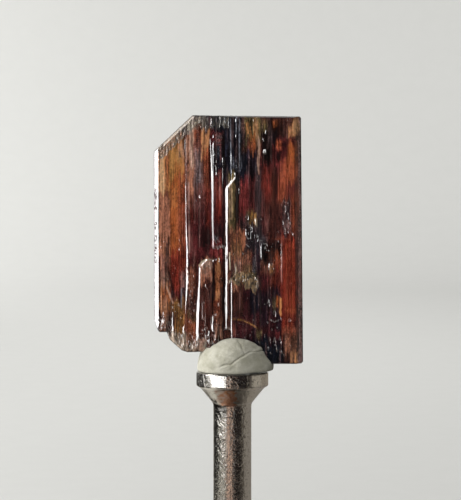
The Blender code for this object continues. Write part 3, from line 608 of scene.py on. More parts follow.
    ("brown", 9.55, 10.3, 8.6, 9.6, 0.12, 0.3), ("rust", 9.6, 10.3, 6.4, 7.5, 0.12, 0.35),
    ("slate", 8.2, 8.5, 7.45, 9.02, 0.1, 0.55),
    ("brown", 7.3, 8.1, 7.45, 9.22, 0.16, 0.5), ("olive", 7.4, 8.2, 7.65, 8.24, 0.12, 0.6),
    ("pitch", 9.0, 10.6, 8.43, 10.2, 0.2, 0.75), ("rust", 9.95, 10.55, 8.04, 9.22, 0.14, 0.8),
    ("ochre", 9.55, 9.95, 7.55, 8.24, 0.1, 0.7), ("maroon", 8.7, 9.7, 4.9, 8.04, 0.2, 0.6),
    ("red", 9.95, 10.6, 6.28, 8.04, 0.16, 0.7), ("tan", 6.55, 7.25, 7.5, 8.6, 0.12, 0.35),
    ("pitch", 7.35, 8.0, 8.6, 9.6, 0.12, 0.35),
    # the clear right column
    ("red", 10.62, 12.05, 2.35, 10.49, 0.12, 1.0), ("rust", 10.95, 11.9, 2.75, 10.2, 0.2, 0.1),
    ("maroon", 10.9, 11.9, 3.0, 4.2, 0.15, 0.35),
    ("maroon", 11.85, 12.0, 2.45, 11.28, 0.06, 0.5), ("pitch", 11.55, 12.0, 2.94, 3.82, 0.16, 0.6),
    ("rose", 10.6, 10.72, 7.26, 10.2, 0.05, 0.5), ("rust", 10.9, 11.9, 4.27, 4.61, 0.08, 0.8),
    # under the ledge
    ("ink", 6.5, 10.6, -0.5, 6.28, 0.2, 0.8), ("maroon", 6.5, 8.2, 1.96, 6.08, 0.3, 0.6),
    ("ink", 8.0, 8.8, 4.12, 6.47, 0.16, 0.8), ("umber", 6.45, 7.4, 3.92, 6.47, 0.2, 0.6),
    ("maroon", 8.4, 10.2, 2.16, 4.31, 0.3, 0.6), ("ink", 8.75, 9.5, 3.0, 4.4, 0.12, 0.65),
    ("ink", 10.2, 10.6, 2.0, 3.1, 0.12, 0.4), ("olive", 6.55, 8.5, 6.57, 7.6, 0.1, 0.9),
    ("umber", 7.15, 7.45, 6.18, 7.06, 0.07, 0.85), ("brown", 6.45, 7.0, 6.08, 7.06, 0.14, 0.6),
    ("beige", 8.45, 8.7, 6.37, 7.26, 0.08, 0.35), ("tan", 8.3, 8.5, 5.88, 6.57, 0.08, 0.6),
    ("rust", 6.45, 6.75, 2.16, 3.33, 0.14, 0.25), ("olive", 8.5, 9.0, 2.11, 2.75, 0.1, 0.9),
    ("crimson", 10.15, 10.5, 2.16, 2.75, 0.1, 0.7), ("orange", 10.2, 10.36, 4.8, 5.69, 0.06, 0.9),
    ("amber", 10.44, 10.62, 4.22, 5.79, 0.05, 0.9), ("olive", 9.9, 10.2, 4.51, 5.49, 0.1, 0.5),
    # along the bottom, right of the putty
    ("ink", 8.4, 10.9, -0.5, 2.01, 0.12, 0.95), ("umber", 10.8, 12.1, 0.1, 2.26, 0.16, 0.8),
    ("brown", 10.9, 11.9, 0.78, 2.16, 0.16, 0.5), ("gold", 11.35, 12.1, 0.1, 1.1, 0.1, 0.85),
    ("brown", 10.7, 12.0, 2.16, 3.0, 0.14, 0.3),
    ("pitch", 11.0, 11.4, 0.2, 1.18, 0.12, 0.5),
    # the bevel along the right, and a dark line beside it
    ("rose", 12.04, 12.6, -1.0, 22.0, 0.05, 0.6), ("pitch", 11.92, 12.02, -1.0, 22.0, 0.06, 0.4),
    # the etched top
    ("smoke", 4.0, 4.6, 19.51, 21.0, 0.1, 0.85), ("umber", 3.2, 4.0, 19.61, 21.0, 0.14, 0.5),
    ("beige", 2.8, 4.3, 19.5, 20.6, 0.1, 0.3),
    ("ink", 4.8, 6.3, 19.51, 21.0, 0.06, 0.95),
]
# Streaks of colour, as (colour's name, (across, up) points, half width, strength).
# The cream and beige streaks are painted glints along curls, tips and chips; the rose and mauve ones are
# painted sheen off steps and striations.
STREAKS = [
    ("tan", [(1.05, 6.43), (1.56, 5.09)], 0.07, 0.8),
    ("pitch", [(1.22, 7.68), (1.47, 6.6), (1.64, 5.59)], 0.08, 0.8),
    ("rose", [(2.66, 19.4), (2.69, 14.6), (2.62, 10.5)], 0.035, 0.7),
    ("rose", [(2.88, 15.12), (2.92, 11.77), (2.95, 9.32)], 0.06, 0.75),
    ("ochre", [(6.3, 3.78), (6.9, 3.75), (7.5, 3.62), (8.2, 3.28), (8.6, 2.99)], 0.06, 0.6),
    ("rust", [(9.9, 10.44), (11.4, 10.44)], 0.05, 0.6),
    ("cream", [(6.78, 8.33), (6.86, 7.82), (6.8, 7.36), (6.45, 7.16), (6.3, 6.84)], 0.05, 0.7),
    ("amber", [(2.62, 5.3), (2.6, 3.33)], 0.06, 0.2), ("slate", [(2.28, 6.28), (2.26, 4.71)], 0.05, 0.7),
    ("tan", [(3.0, 19.71), (3.1, 18.04)], 0.05, 0.8), ("beige", [(2.95, 20.1), (2.95, 19.51)], 0.06, 0.9),
    ("cream", [(3.76, 8.24), (4.16, 8.66), (4.55, 8.72)], 0.05, 0.8),
    ("beige", [(4.5, 8.72), (5.0, 8.7)], 0.05, 0.5),
    ("slate", [(4.85, 20.2), (4.9, 19.61)], 0.05, 0.9), ("tan", [(2.72, 18.83), (2.72, 16.87)], 0.05, 0.6),
    # These three slate streaks are painted reflections: grey light off the ribs above the long crystal.
    ("slate", [(6.39, 20.4), (6.41, 15.89)], 0.05, 0.9),
    ("slate", [(7.14, 20.4), (7.12, 16.57)], 0.05, 0.9),
    ("slate", [(6.88, 20.9), (6.84, 19.02)], 0.05, 0.95),
    ("mauve", [(3.42, 16.47), (3.4, 11.77)], 0.05, 0.5),
    ("mauve", [(3.8, 13.73), (3.78, 9.81)], 0.05, 0.5), ("rose", [(5.42, 15.98), (5.5, 13.73)], 0.05, 0.4),
    ("rust", [(11.1, 10.2), (11.12, 2.94)], 0.05, 0.5), ("rust", [(11.5, 10.2), (11.48, 2.55)], 0.05, 0.5),
    ("cream", [(6.3, 9.3), (6.33, 7.9)], 0.04, 0.75), ("amber", [(9.7, 8.24), (9.75, 7.75)], 0.1, 0.8),
    ("pitch", [(4.98, 7.84), (4.94, 5.3)], 0.06, 0.9),
]
RICHNESS = 2.0  # how much lighter the stains are than the light that comes back from them
MOST_LIGHT = 0.95  # what none of a stain's three channels exceeds
# Boxes where chance adds fewer streaks, as (left, right, lower, upper, feather, what share fewer).
CALM = [(10.7, 12.0, 2.5, 10.4, 0.1, 0.75), (0.45, 2.5, 8.5, 17.5, 0.2, 0.45),
        (10.0, 12.0, 13.4, 18.4, 0.15, 0.6)]
# Streaks and spots laid by chance, as (width, length, seed, where in the fibres' range from 0 to 1 they
# begin, and over how much of it).
# The pale streaks are painted sheen off the striations.
PAINTED_SHEEN_STREAKS = (0.10, 1.8, 58, 0.66, 0.14)
DARK_STREAKS = (0.09, 1.2, 59, 0.62, 0.12)
DARK_SPOTS = (0.13, 0.3, 60, 0.74, 0.1)
LEDGE_BLOTCHES = (0.22, 0.35, 63, 0.55, 0.12)
WHITE_CORNER = (2.6, 4.1, 19.5, 21.5, 0.25)  # the frost is whitest where the shoulder meets the top
# Painted shade: the outline is darkened and less clear, where its bevels mirror the dark room.
OUTLINE_SHADE = 0.12  # how much of its colour the crystal keeps along its outline, where light is trapped


def flecks(across, up, width, length, seed, start, fade):
    """1 where fibres are high and 0 elsewhere, from their value start on and over a fade."""
    return smooth((fibres(across, up, width, length, seed) - start) / fade)


def layer(stain_and_sheen_layers, name, share):
    """Lays a share of one named colour over others, a painted sheen as well as the crystal's own: each
    is a colour, a clearness and a roughness.
    """
    hex_code, clear, rough = STAINS_AND_PAINTED_SHEENS[name]
    for values, value in zip(stain_and_sheen_layers, (srgb(hex_code), clear, rough)):
        spread = share[..., None] if values.ndim > share.ndim else share
        values += spread * (value - values)


def stains_and_painted_sheens(across, up, side):
    """Colour, clearness and roughness: the zones laid over each other with fibrous ends, the streaks, and
    then streaks, grain and frost by chance. Some zones and streaks, the pale streaks by chance and the
    light lip along the shoulder are painted glints and sheens."""
    stain_and_sheen_layers = [np.zeros((*across.shape, 3)), np.zeros_like(across), np.zeros_like(across)]
    drift = fibres(across, up, 0.11, 2.5, 51) - 0.5
    sway = fibres(across, up, 0.5, 0.9, 52) + 0.5 * fibres(across, up, 0.2, 0.3, 57) - 0.75
    for name, left, right, low, high, feather, strength in ZONES:
        reach = min(1.3, 0.5 * (high - low))
        shifted = (across + 0.14 * sway, up + reach * drift)
        layer(stain_and_sheen_layers, name, strength * box_mask(*shifted, left, right, low, high, 0.8 * feather))
    for name, path, half_width, strength in STREAKS:
        near = smooth(1.6 - path_distance(across, up, path) / half_width)
        layer(stain_and_sheen_layers, name, strength * near)
    calm = np.ones_like(across)
    for *box, fewer in CALM:
        calm = calm - fewer * box_mask(across, up, *box)
    # Pale mauve streaks by chance: painted sheen off the striations.
    layer(stain_and_sheen_layers, "mauve", 0.25 * calm * flecks(across, up, *PAINTED_SHEEN_STREAKS))
    dark = np.maximum(flecks(across, up, *DARK_STREAKS), 0.8 * flecks(across, up, *DARK_SPOTS))
    layer(stain_and_sheen_layers, "pitch", 0.55 * calm * dark)
    colour, clear, rough = stain_and_sheen_layers
    streak = 0.6 * fibres(across, up, 0.085, 2.2, 53) + 0.4 * fibres(across, up, 0.2, 0.7, 54)
    grain = fibres(across, up, 0.08, 0.11, 55)
    uneven = np.exp(1.7 * (0.4 + 0.6 * calm) * (streak - 0.5) + 0.8 * (grain - 0.5))
    colour = RICHNESS * colour * uneven[..., None]
    colour = colour * np.minimum(1.0, MOST_LIGHT / colour.max(axis=-1, keepdims=True))
    on_ledge = ledge(across, up, side)
    layer((colour, clear, rough), "ledge", on_ledge)
    blotch = flecks(across, up, *LEDGE_BLOTCHES) * smooth((7.35 - up) / 0.3)
    mottled = 3.0 * fibres(across, up, 0.09, 0.14, 64) - 1.3 - 0.7 * blotch
    colour = colour * np.maximum(0.15, 1.0 + on_ledge * mottled)[..., None]
    frost = frosting(across, up, side)
    mottle = 0.5 + 0.5 * shards(across, up, 0.12, 0.2, 56)
    whiter = 1.0 + 1.1 * box_mask(across, up, *WHITE_CORNER)
    pale = srgb(STAINS_AND_PAINTED_SHEENS["frost"][0]) * ((0.3 + 1.5 * mottle ** 2) * whiter)[..., None]
    frosted = frost * smooth(mottle * 3.0 - 1.0) * 0.75
    # Painted sheen: the light beige laid over the shoulder's outer lip stands in for light that it mirrors.
    lip = smooth((SHOULDER_LIP[0] - shoulder(across, up)) / 0.08 + 0.5)
    colour = colour * (1 - 0.45 * frost[..., None])
    colour = colour + frosted[..., None] * (pale - colour)
    colour = colour + (0.8 * lip)[..., None] * (srgb(STAINS_AND_PAINTED_SHEENS["beige"][0]) - colour)
    clear = clear * (1 - 0.8 * frost)
    rough = rough + frost * (STAINS_AND_PAINTED_SHEENS["frost"][2] - rough)
    return colour, clear, rough


def outline_shade(across, up):
    """Painted shade: darkening towards the outline, over a tenth of a millimetre."""
    inside = np.minimum.reduce([right_edge(up) - across, up - foot_edge(across), top_edge(across) - up])
    return OUTLINE_SHADE + (1 - OUTLINE_SHADE) * smooth((inside - 0.03) / 0.09)


def make_mesh(name, points, polygons):
    """An object from points in millimetres and arrays of polygons, each array of one polygon size."""
    mesh = bpy.data.meshes.new(name)
    points = np.asarray(points, dtype=float).reshape(-1, 3)
    mesh.vertices.add(len(points))
    mesh.vertices.foreach_set("co", (points * MM).ravel())
    corners = np.concatenate([np.asarray(part).ravel() for part in polygons])
    sizes = np.concatenate([np.full(len(part), np.asarray(part).shape[1]) for part in polygons])
    mesh.loops.add(len(corners))
    mesh.loops.foreach_set("vertex_index", corners.astype(np.int32))
    mesh.polygons.add(len(sizes))
    mesh.polygons.foreach_set("loop_start", np.concatenate([[0], np.cumsum(sizes)[:-1]]).astype(np.int32))
    mesh.update(calc_edges=True)
    mesh.validate()
    made = bpy.data.objects.new(name, mesh)
    bpy.context.scene.collection.objects.link(made)
    return made


def smooth_shading(piece, degrees):
    """Shades a piece smooth, except where its faces meet at more than an angle."""
    piece.data.shade_smooth()
    piece.data.set_sharp_from_angle(angle=math.radians(degrees))


def numbers(grid):
    """The number of each of a grid's points."""
    return np.arange(grid.size).reshape(grid.shape)


def grid_quads(index, wrap=False):
    """Quads between the neighbours of a grid of point numbers; wrap joins the last column to the first."""
    if wrap:
        index = np.concatenate([index, index[:, :1]], axis=1)
    return np.stack([index[:-1, :-1], index[:-1, 1:], index[1:, 1:], index[1:, :-1]], axis=-1).reshape(-1, 4)


def pole_fans(index):
    """Triangles that close a grid's first and last rings, on the two points that come after the grid's."""
    after = np.roll(index, -1, axis=1)
    count = index.shape[1]
    return [np.stack([after[0], index[0], np.full(count, index.size)], axis=-1),
            np.stack([index[-1], after[-1], np.full(count, index.size + 1)], axis=-1)]


def attribute(piece, name, values):
    """A value or a colour at each point of a piece, for its material."""
    if values.ndim == 2:
        values = np.concatenate([values, np.ones((len(values), 1))], axis=1)
        kind, field = "FLOAT_COLOR", "color"
    else:
        kind, field = "FLOAT", "value"
    points = piece.data.attributes.new(name, kind, "POINT").data
    points.foreach_set(field, values.astype(np.float32).ravel())


def crystal_sheet(columns, rows):
    """Places across and up on a grid that fills the outline: each column runs from the lower edge to the
    upper one, and the right side leans in towards the top."""
    share, rise = np.meshgrid(np.linspace(0, 1, columns + 1), np.linspace(0, 1, rows + 1), indexing="ij")
    foot = share * WIDTH
    spread = [(x * WIDTH / right_edge(z), z) for x, z in UPPER_EDGE]
    lower = foot_edge(foot)
    up = lower + rise * (np.interp(foot, *zip(*spread)) - lower)
    return foot * right_edge(up) / WIDTH, up


def sheet_loop(index):
    """The numbers of a sheet's outline, clockwise from its lowest left point as the front shows it."""
    return np.concatenate([index[0, :-1], index[:-1, -1], index[-1, :0:-1], index[:0:-1, 0]])


def rim_shift(across, up, deep, beside):
    """How far the rim's points move in: grooves along the narrow sides, and fine fibres all round."""
    grooves = np.zeros_like(deep)
    for centre, half_width, depth in SIDE_GROOVES:
        grooves = np.maximum(grooves, depth * (1 - np.abs(deep - centre) / half_width))
    along = 0.03 * fibres(deep, up, 0.09, 2.0, 61)
    return np.where(beside, grooves + along, 0.03 * fibres(deep, across, 0.1, 0.8, 62))


def crystal_shell(columns, rows, steps, grow=0.0):
    """Points and polygons of the closed crystal: a front sheet in relief, a back sheet with half as many
    columns and rows, and a rim of rings between their outlines. grow makes it thicker."""
    across, up = crystal_sheet(columns, rows)
    behind_across, behind_up = across[::2, ::2], up[::2, ::2]
    front_out = HALF_SLAB + grow + relief(across, up, -1)
    back_out = HALF_SLAB + grow + relief(behind_across, behind_up, 1)
    front = np.stack([across, -front_out, up], axis=-1)
    back = np.stack([behind_across, back_out, behind_up], axis=-1)
    index = numbers(across)
    back_index = across.size + numbers(behind_across)
    loop, back_loop = sheet_loop(index), sheet_loop(back_index)
    points = np.concatenate([front.reshape(-1, 3), back.reshape(-1, 3)])
    # Rings between every second point of the front's outline and the back's.
    share = np.arange(1, steps)[:, None, None] / steps
    rim = points[loop[::2]] * (1 - share) + points[back_loop] * share
    on_left, on_right = np.isin(loop[::2], index[0]), np.isin(loop[::2], index[-1])
    beside = np.broadcast_to(on_left | on_right, rim.shape[:2])
    shift = rim_shift(rim[..., 0], rim[..., 2], rim[..., 1], beside) * np.sin(np.pi * share[..., 0]) ** 0.5
    sideways = np.where(on_left, 1.0, np.where(on_right, -1.0, 0.0))
    upwards = np.where(on_left | on_right, 0.0, np.sign(10.0 - rim[..., 2]))
    rim[..., 0] += sideways * shift
    rim[..., 2] += upwards * shift
    rings = len(points) + numbers(rim[..., 0])
    points = np.concatenate([points, rim.reshape(-1, 3)])
    # The front's outline has twice as many points as the first ring, so three triangles join each pair.
    ring, after = rings[0], np.roll(rings[0], -1)
    corner, middle, end = loop[::2], loop[1::2], np.roll(loop[::2], -1)
    polygons = [
        grid_quads(index)[:, ::-1], grid_quads(back_index),
        grid_quads(np.concatenate([rings, back_loop[None]]), wrap=True),
        np.stack([corner, middle, ring], axis=-1), np.stack([middle, after, ring], axis=-1),
        np.stack([middle, end, after], axis=-1),
    ]
    return points, polygons


def make_crystal():
    """The crystal, with its colours, painted sheens and painted outline shade worked out at each point."""
    points, polygons = crystal_shell(columns=308, rows=240, steps=10)
    piece = make_mesh("crystal", points + [CRYSTAL_LEFT, 0.0, CRYSTAL_BASE], polygons)
    across, deep, up = points.T
    colour = np.zeros((len(points), 3))
    clear = np.zeros(len(points))
    rough = np.zeros(len(points))
    for side, chosen in ((-1, deep < 0), (1, deep >= 0)):
        colour[chosen], clear[chosen], rough[chosen] = stains_and_painted_sheens(across[chosen], up[chosen], side)
    # Painted shade along the outline darkens the colour and lowers the clearness.
    shade = outline_shade(across, up)
    attribute(piece, "stain_and_painted_light", colour * shade[:, None])
    attribute(piece, "clear", clear * (0.3 + 0.7 * shade))
    attribute(piece, "rough", rough)
    piece.data.materials.append(brookite())
    return piece


def add(tree, kind, settings=None, links=None, values=None):
    """Adds a node: settings are its properties, values its sockets' constants and links what feeds them."""
    made = tree.nodes.new(kind)
    for key, value in (settings or {}).items():
        setattr(made, key, value)
    for key, value in (values or {}).items():
        made.inputs[key].default_value = value
    for key, source in (links or {}).items():
        tree.links.new(source, made.inputs[key])
    return made


def new_material(name, **constants):
    """A material with its Principled shader, whose sockets take the constants."""
    material = bpy.data.materials.new(name)
    material.use_nodes = True
    shader = material.node_tree.nodes["Principled BSDF"]
    for key, value in constants.items():
        shader.inputs[key.replace("_", " ")].default_value = value
    return material, material.node_tree, shader


def per_mm(size):
    """A texture's scale on Object coordinates, which are in metres, for features size millimetres big."""
    return 1.0 / (size * MM)


def texture(tree, size, detail=3.0, roughness=0.55):
    """Unevenness from 0 to 1, whose lumps are size millimetres across, X, Y and Z apart."""
    place = add(tree, "ShaderNodeTexCoord").outputs["Object"]
    sized = add(tree, "ShaderNodeMapping", links={"Vector": place},
                values={"Scale": [per_mm(one) for one in size]})
    return add(tree, "ShaderNodeTexNoise", links={"Vector": sized.outputs[0]},
               values={"Scale": 1.0, "Detail": detail, "Roughness": roughness}).outputs["Fac"]


def mask(tree, *edges):
    """Where a finish shows: the product of its edges. An edge is another mask, or (source, start, stop,
    least, most), which is least up to start and most from stop on; these two are 0 and 1 if left out."""
    product = None
    for edge in edges:
        if isinstance(edge, tuple):
            source, *levels = edge
            levels = dict(zip(("From Min", "From Max", "To Min", "To Max"), levels))
            edge = add(tree, "ShaderNodeMapRange", links={"Value": source}, values=levels).outputs[0]
        if product is not None:
            both = {0: product, 1: edge}
            edge = add(tree, "ShaderNodeMath", {"operation": "MULTIPLY"}, links=both).outputs[0]
        product = edge
    return product


def coated(tree, base, *coats):
    """A colour with others laid over it: each coat is a colour and the mask where it shows."""
    colour = None
    for coat, where in coats:
        links = {"Factor": where} if colour is None else {"Factor": where, 6: colour}
        colour = add(tree, "ShaderNodeMix", {"data_type": "RGBA"}, links=links,
                     values={6: (*srgb(base), 1.0), 7: (*srgb(coat), 1.0)}).outputs[2]
    return colour


def emboss(tree, shader, *layers):
    """Gives a surface its relief: each layer is a height from 0 to 1 and how deep it is in millimetres, and
    lies on the one before it."""
    normal = None
    for height, depth in layers:
        links = {"Height": height} if normal is None else {"Height": height, "Normal": normal}
        normal = add(tree, "ShaderNodeBump", links=links,
                     values={"Strength": 1.0, "Distance": depth * MM}).outputs[0]
    tree.links.new(normal, shader.inputs["Normal"])


BODY = ("c8703c", 60.0)  # brookite's colour all through, and how fast it absorbs the rest, per metre


def brookite():
    """Brookite, titanium dioxide as it grew: nearly adamantine, so its faces mirror a fifth of the light,
    and red-brown where light comes through, because its body absorbs the rest. Its finest striations are
    far finer than the ones here, which are 0.045 mm wide so that they show."""
    material, tree, shader = new_material("brookite", IOR=2.58)
    stain_and_painted_light = add(tree, "ShaderNodeAttribute", {"attribute_name": "stain_and_painted_light"}).outputs["Color"]
    clear = add(tree, "ShaderNodeAttribute", {"attribute_name": "clear"}).outputs["Fac"]
    rough = add(tree, "ShaderNodeAttribute", {"attribute_name": "rough"}).outputs["Fac"]
    streaks = texture(tree, (0.06, 0.06, 1.4), detail=4.0)
    specks = texture(tree, (0.1, 0.1, 0.16), detail=2.0)
    shade = mask(tree, (streaks, 0.3, 0.7, 0.6, 1.4), (specks, 0.3, 0.7, 0.72, 1.28))
    shaded = add(tree, "ShaderNodeVectorMath", {"operation": "SCALE"}, links={0: stain_and_painted_light, "Scale": shade})
    tree.links.new(shaded.outputs[0], shader.inputs["Base Color"])
    tree.links.new(clear, shader.inputs["Transmission Weight"])
    tree.links.new(rough, shader.inputs["Roughness"])
    emboss(tree, shader, (texture(tree, (0.045, 0.045, 2.4), detail=2.0), 0.006))
    body = add(tree, "ShaderNodeVolumeAbsorption",
               values={"Color": (*srgb(BODY[0]), 1.0), "Density": BODY[1]})
    tree.links.new(body.outputs["Volume"], tree.nodes["Material Output"].inputs["Volume"])
    return material


# The putty.
PUTTY_RADIUS = 3.03
PUTTY_HEIGHT = 3.15
PUTTY_OFFSET = 0.04
PUTTY_FULLNESS = (3.35, 0.35)  # 2 is an ellipsoid and more is squarer, and how much more on the right
PUTTY_LEAN = 0.24  # how much further right its top lies
FLAP = (0.46, -0.42)  # how far the lip at its lower right stands out, and where round it
FOLD_LINE = ((0.22, 1.15), (1.7, 1.98))
FOLD_STEP = 0.07  # how far the part below that line overlaps the rest
PUTTY_LIFT = 0.13  # how far its foot lifts off the head on the right
PUTTY_SIT = 0.01  # how close it comes to the head and the crystal
# Creases pressed into its front, as ((across, up from the head) points, depth, half width).
CREASES = [
    ([(-1.0, 0.66), (-0.77, 0.78), (-0.36, 0.86), (-0.1, 0.87), (0.22, 1.15), (0.72, 1.48), (1.05, 1.65),
      (1.46, 1.84), (1.7, 1.87), (2.1, 1.83), (2.6, 1.9)], 0.09, 0.05),
    ([(0.47, 2.8), (0.72, 2.47), (0.88, 2.06), (1.03, 1.72)], 0.065, 0.055),
    ([(-2.3, 0.5), (-1.6, 0.42), (-1.1, 0.6)], 0.02, 0.1),
    ([(-0.2, 1.8), (0.0, 2.25), (0.3, 2.5)], 0.02, 0.08),
]
PUTTY_COLUMNS, PUTTY_ROWS = 220, 70
# The dome's lowest rings, whose foot is tucked in: at what share of its height and of its radius.
TUCKED_RINGS = [(0.0, 0.9), (0.01, 0.95), (0.03, 0.98), (0.055, 0.995)]
LOWEST_ROW = 0.09  # the share of its height where the other rings begin


def putty_radius(angle, rise):
    """The dome's radius at a share, rise, of its height: full at the foot, with a lip at its lower right."""
    fullness = PUTTY_FULLNESS[0] + PUTTY_FULLNESS[1] * np.cos(angle)
    dome = np.sqrt(np.maximum(0.0, 1.0 - rise ** fullness))
    out, where = FLAP
    lip = out * np.maximum(0.0, np.cos(angle - where)) ** 6 * smooth((0.52 - rise) / 0.32)
    lumps = 0.012 * np.sin(3.0 * angle + 1.2) + 0.01 * np.sin(5.0 * angle + 4.0 * rise)
    return PUTTY_RADIUS * dome * (1.0 + lumps) + lip


def make_putty():
    """The dome: a radius round the pin at each angle and rise, with creases in front and a tucked foot."""
    angle = np.arange(PUTTY_COLUMNS) * math.tau / PUTTY_COLUMNS
    level = np.sin(0.5 * math.pi * np.linspace(0, 1, PUTTY_ROWS + 1)[:-1])
    rise, tuck = zip(*TUCKED_RINGS)
    rise = np.concatenate([rise, LOWEST_ROW + (1.0 - LOWEST_ROW) * level])
    tuck = np.concatenate([tuck, np.ones(PUTTY_ROWS)])
    rise, turn = np.meshgrid(rise, angle, indexing="ij")
    radius = tuck[:, None] * putty_radius(turn, rise)
    foot = HEAD_TOP + PUTTY_SIT
    centre = PUTTY_OFFSET + PUTTY_LEAN * rise ** 2
    x, z = centre + radius * np.cos(turn), PUTTY_HEIGHT * rise
    front = smooth(-np.sin(turn) * 3.0)
    for path, depth, half_width in CREASES:
        radius = radius - front * depth * np.exp(-(path_distance(x, z, path) / half_width) ** 2)
    radius = radius + front * FOLD_STEP * smooth(beside_line(x, z, FOLD_LINE) / 0.1) * smooth((x + 0.1) / 0.8)
    z = z + PUTTY_LIFT * smooth(1.5 * np.cos(turn)) * (1.0 - rise) ** 6
    radius = radius + 0.02 * (fibres(turn * 3.0, rise * 3.2, 0.7, 0.6, 71) - 0.5) * tuck[:, None]
    place = np.stack([centre + radius * np.cos(turn), radius * np.sin(turn), foot + z], axis=-1)
    index = numbers(rise)
    ends = [[PUTTY_OFFSET, 0.0, foot], [PUTTY_OFFSET + PUTTY_LEAN, 0.0, foot + PUTTY_HEIGHT]]
    points = np.concatenate([place.reshape(-1, 3), ends])
    piece = make_mesh("putty_lump", points, [grid_quads(index, wrap=True), *pole_fans(index)])
    cut_slot(piece)
    smooth_shading(piece, 40)
    piece.data.materials.append(putty())
    return piece


def cut_slot(piece):
    """Takes the crystal's shape, a hair larger, out of the putty."""
    points, polygons = crystal_shell(columns=60, rows=50, steps=3, grow=0.02)
    cutter = make_mesh("slot_cutter", points + [CRYSTAL_LEFT, 0.0, CRYSTAL_BASE], polygons)
    modifier = piece.modifiers.new("Slot", "BOOLEAN")
    modifier.operation = "DIFFERENCE"
    modifier.solver = "EXACT"
    modifier.object = cutter
    graph = bpy.context.evaluated_depsgraph_get()
    mesh = bpy.data.meshes.new_from_object(piece.evaluated_get(graph))
    piece.modifiers.clear()
    piece.data = mesh
    bpy.data.objects.remove(cutter, do_unlink=True)


def putty():
    """Mineral putty, pressed by hand: matt, pale warm grey, with smudges and a grain. Its filler is a fine
    powder, and is drawn as grains of 0.07 mm so that it shows."""
    material, tree, shader = new_material("mineral_putty", Roughness=0.8)
    smudges = mask(tree, (texture(tree, (0.9, 0.9, 0.7), detail=4.0), 0.35, 0.65))
    grain = texture(tree, (0.07, 0.07, 0.07))
    shade = mask(tree, (grain, 0.3, 0.7, 0.87, 1.06))
    shaded = add(tree, "ShaderNodeVectorMath", {"operation": "SCALE"},
                 links={0: coated(tree, "aeab98", ("cac7b7", smudges)), "Scale": shade})
    tree.links.new(shaded.outputs[0], shader.inputs["Base Color"])
    emboss(tree, shader, (texture(tree, (0.5, 0.5, 0.35), detail=4.0, roughness=0.65), 0.12), (grain, 0.018))
    return material


# The pin and the foot, turned on a lathe.
ROD_RADIUS = 1.6
RIM_HEIGHT = 1.2
NECK_HEIGHT = 1.55
RIM_FOOT = HEAD_TOP - RIM_HEIGHT
NECK_FOOT = RIM_FOOT - NECK_HEIGHT
FOOT_CHAMFER = 0.35
HUB_RADIUS = 2.9
HUB_HEIGHT = 0.5
SOCKET_RADIUS = 1.7
SOCKET_FLOOR = 0.8
TURNED_COLUMNS = 160
HOLD = 0.03  # how close to a long stretch's ends the points lie that keep its shading flat


def arc(corner, before, after, radius, steps=5):
    """A profile's corner rounded between its neighbours: a quadratic curve from radius before it to
    radius after it."""
    corner, before, after = (np.array(one, dtype=float) for one in (corner, before, after))
    start = corner + (before - corner) * radius / np.linalg.norm(before - corner)
    stop = corner + (after - corner) * radius / np.linalg.norm(after - corner)
    share = np.linspace(0, 1, steps)[:, None]
    return (1 - share) ** 2 * start + 2 * share * (1 - share) * corner + share ** 2 * stop


def rounded(profile, radii):
    """A profile of (radius, height) points from axis to axis, its inner corners rounded, with a point close
    to both ends of each long stretch, which keeps its shading flat."""
    line = [profile[:1]]
    for before, corner, after, radius in zip(profile, profile[1:], profile[2:], radii):
        line.append(arc(corner, before, after, radius))
    line.append(profile[-1:])
    line = np.concatenate([np.asarray(part, dtype=float) for part in line])
    held = [line[:1]]
    for before, after in zip(line, line[1:]):
        length = np.linalg.norm(after - before)
        if length > 6 * HOLD:
            held.append(before + (after - before) * np.array([[HOLD], [length - HOLD]]) / length)
        held.append(after[None])
    return np.concatenate(held)


def spun(rings, columns):
    """Rings round the Z axis: each (radius, height) at evenly spaced angles."""
    angle = np.arange(columns) * math.tau / columns
    radius, height = np.array(rings).T[..., None]
    return np.stack(np.broadcast_arrays(radius * np.cos(angle), radius * np.sin(angle), height), axis=-1)


def turn_profile(name, profile):
    """A profile spun round the Z axis, with both ends closed on the axis."""
    place = spun(profile[1:-1], TURNED_COLUMNS)
    index = numbers(place[..., 0])
    points = np.concatenate([place.reshape(-1, 3), [[0, 0, profile[0][1]], [0, 0, profile[-1][1]]]])
    piece = make_mesh(name, points, [grid_quads(index, wrap=True), *pole_fans(index)])
    smooth_shading(piece, 30)
    return piece


def make_pin():
    """The rod, its flared neck and its rimmed head."""
    profile = [
        (0.0, PIN_LOW[2]), (ROD_RADIUS, PIN_LOW[2]), (ROD_RADIUS, NECK_FOOT + 0.05),
        (HEAD_RADIUS - 0.35, RIM_FOOT - 0.18), (HEAD_RADIUS, RIM_FOOT + 0.03),
        (HEAD_RADIUS, HEAD_TOP), (0.0, HEAD_TOP),
    ]
    piece = turn_profile("headed_pin", rounded(profile, [0.1, 0.25, 0.14, 0.1, 0.09]))
    piece.data.materials.append(nickel())
    return piece


def make_foot():
    """A disc with a low hub round the socket."""
    top = FOOT_HIGH[2] - HUB_HEIGHT
    radius = FOOT_HIGH[0]
    profile = [
        (0.0, 0.0), (radius, 0.0), (radius, top), (HUB_RADIUS, top), (HUB_RADIUS, top + HUB_HEIGHT),
        (SOCKET_RADIUS, top + HUB_HEIGHT), (SOCKET_RADIUS, SOCKET_FLOOR), (0.0, SOCKET_FLOOR),
    ]
    radii = [FOOT_CHAMFER, FOOT_CHAMFER, 0.12, 0.14, 0.06, 0.05]
    piece = turn_profile("disc_foot", rounded(profile, radii))
    piece.data.materials.append(satin_nickel())
    return piece


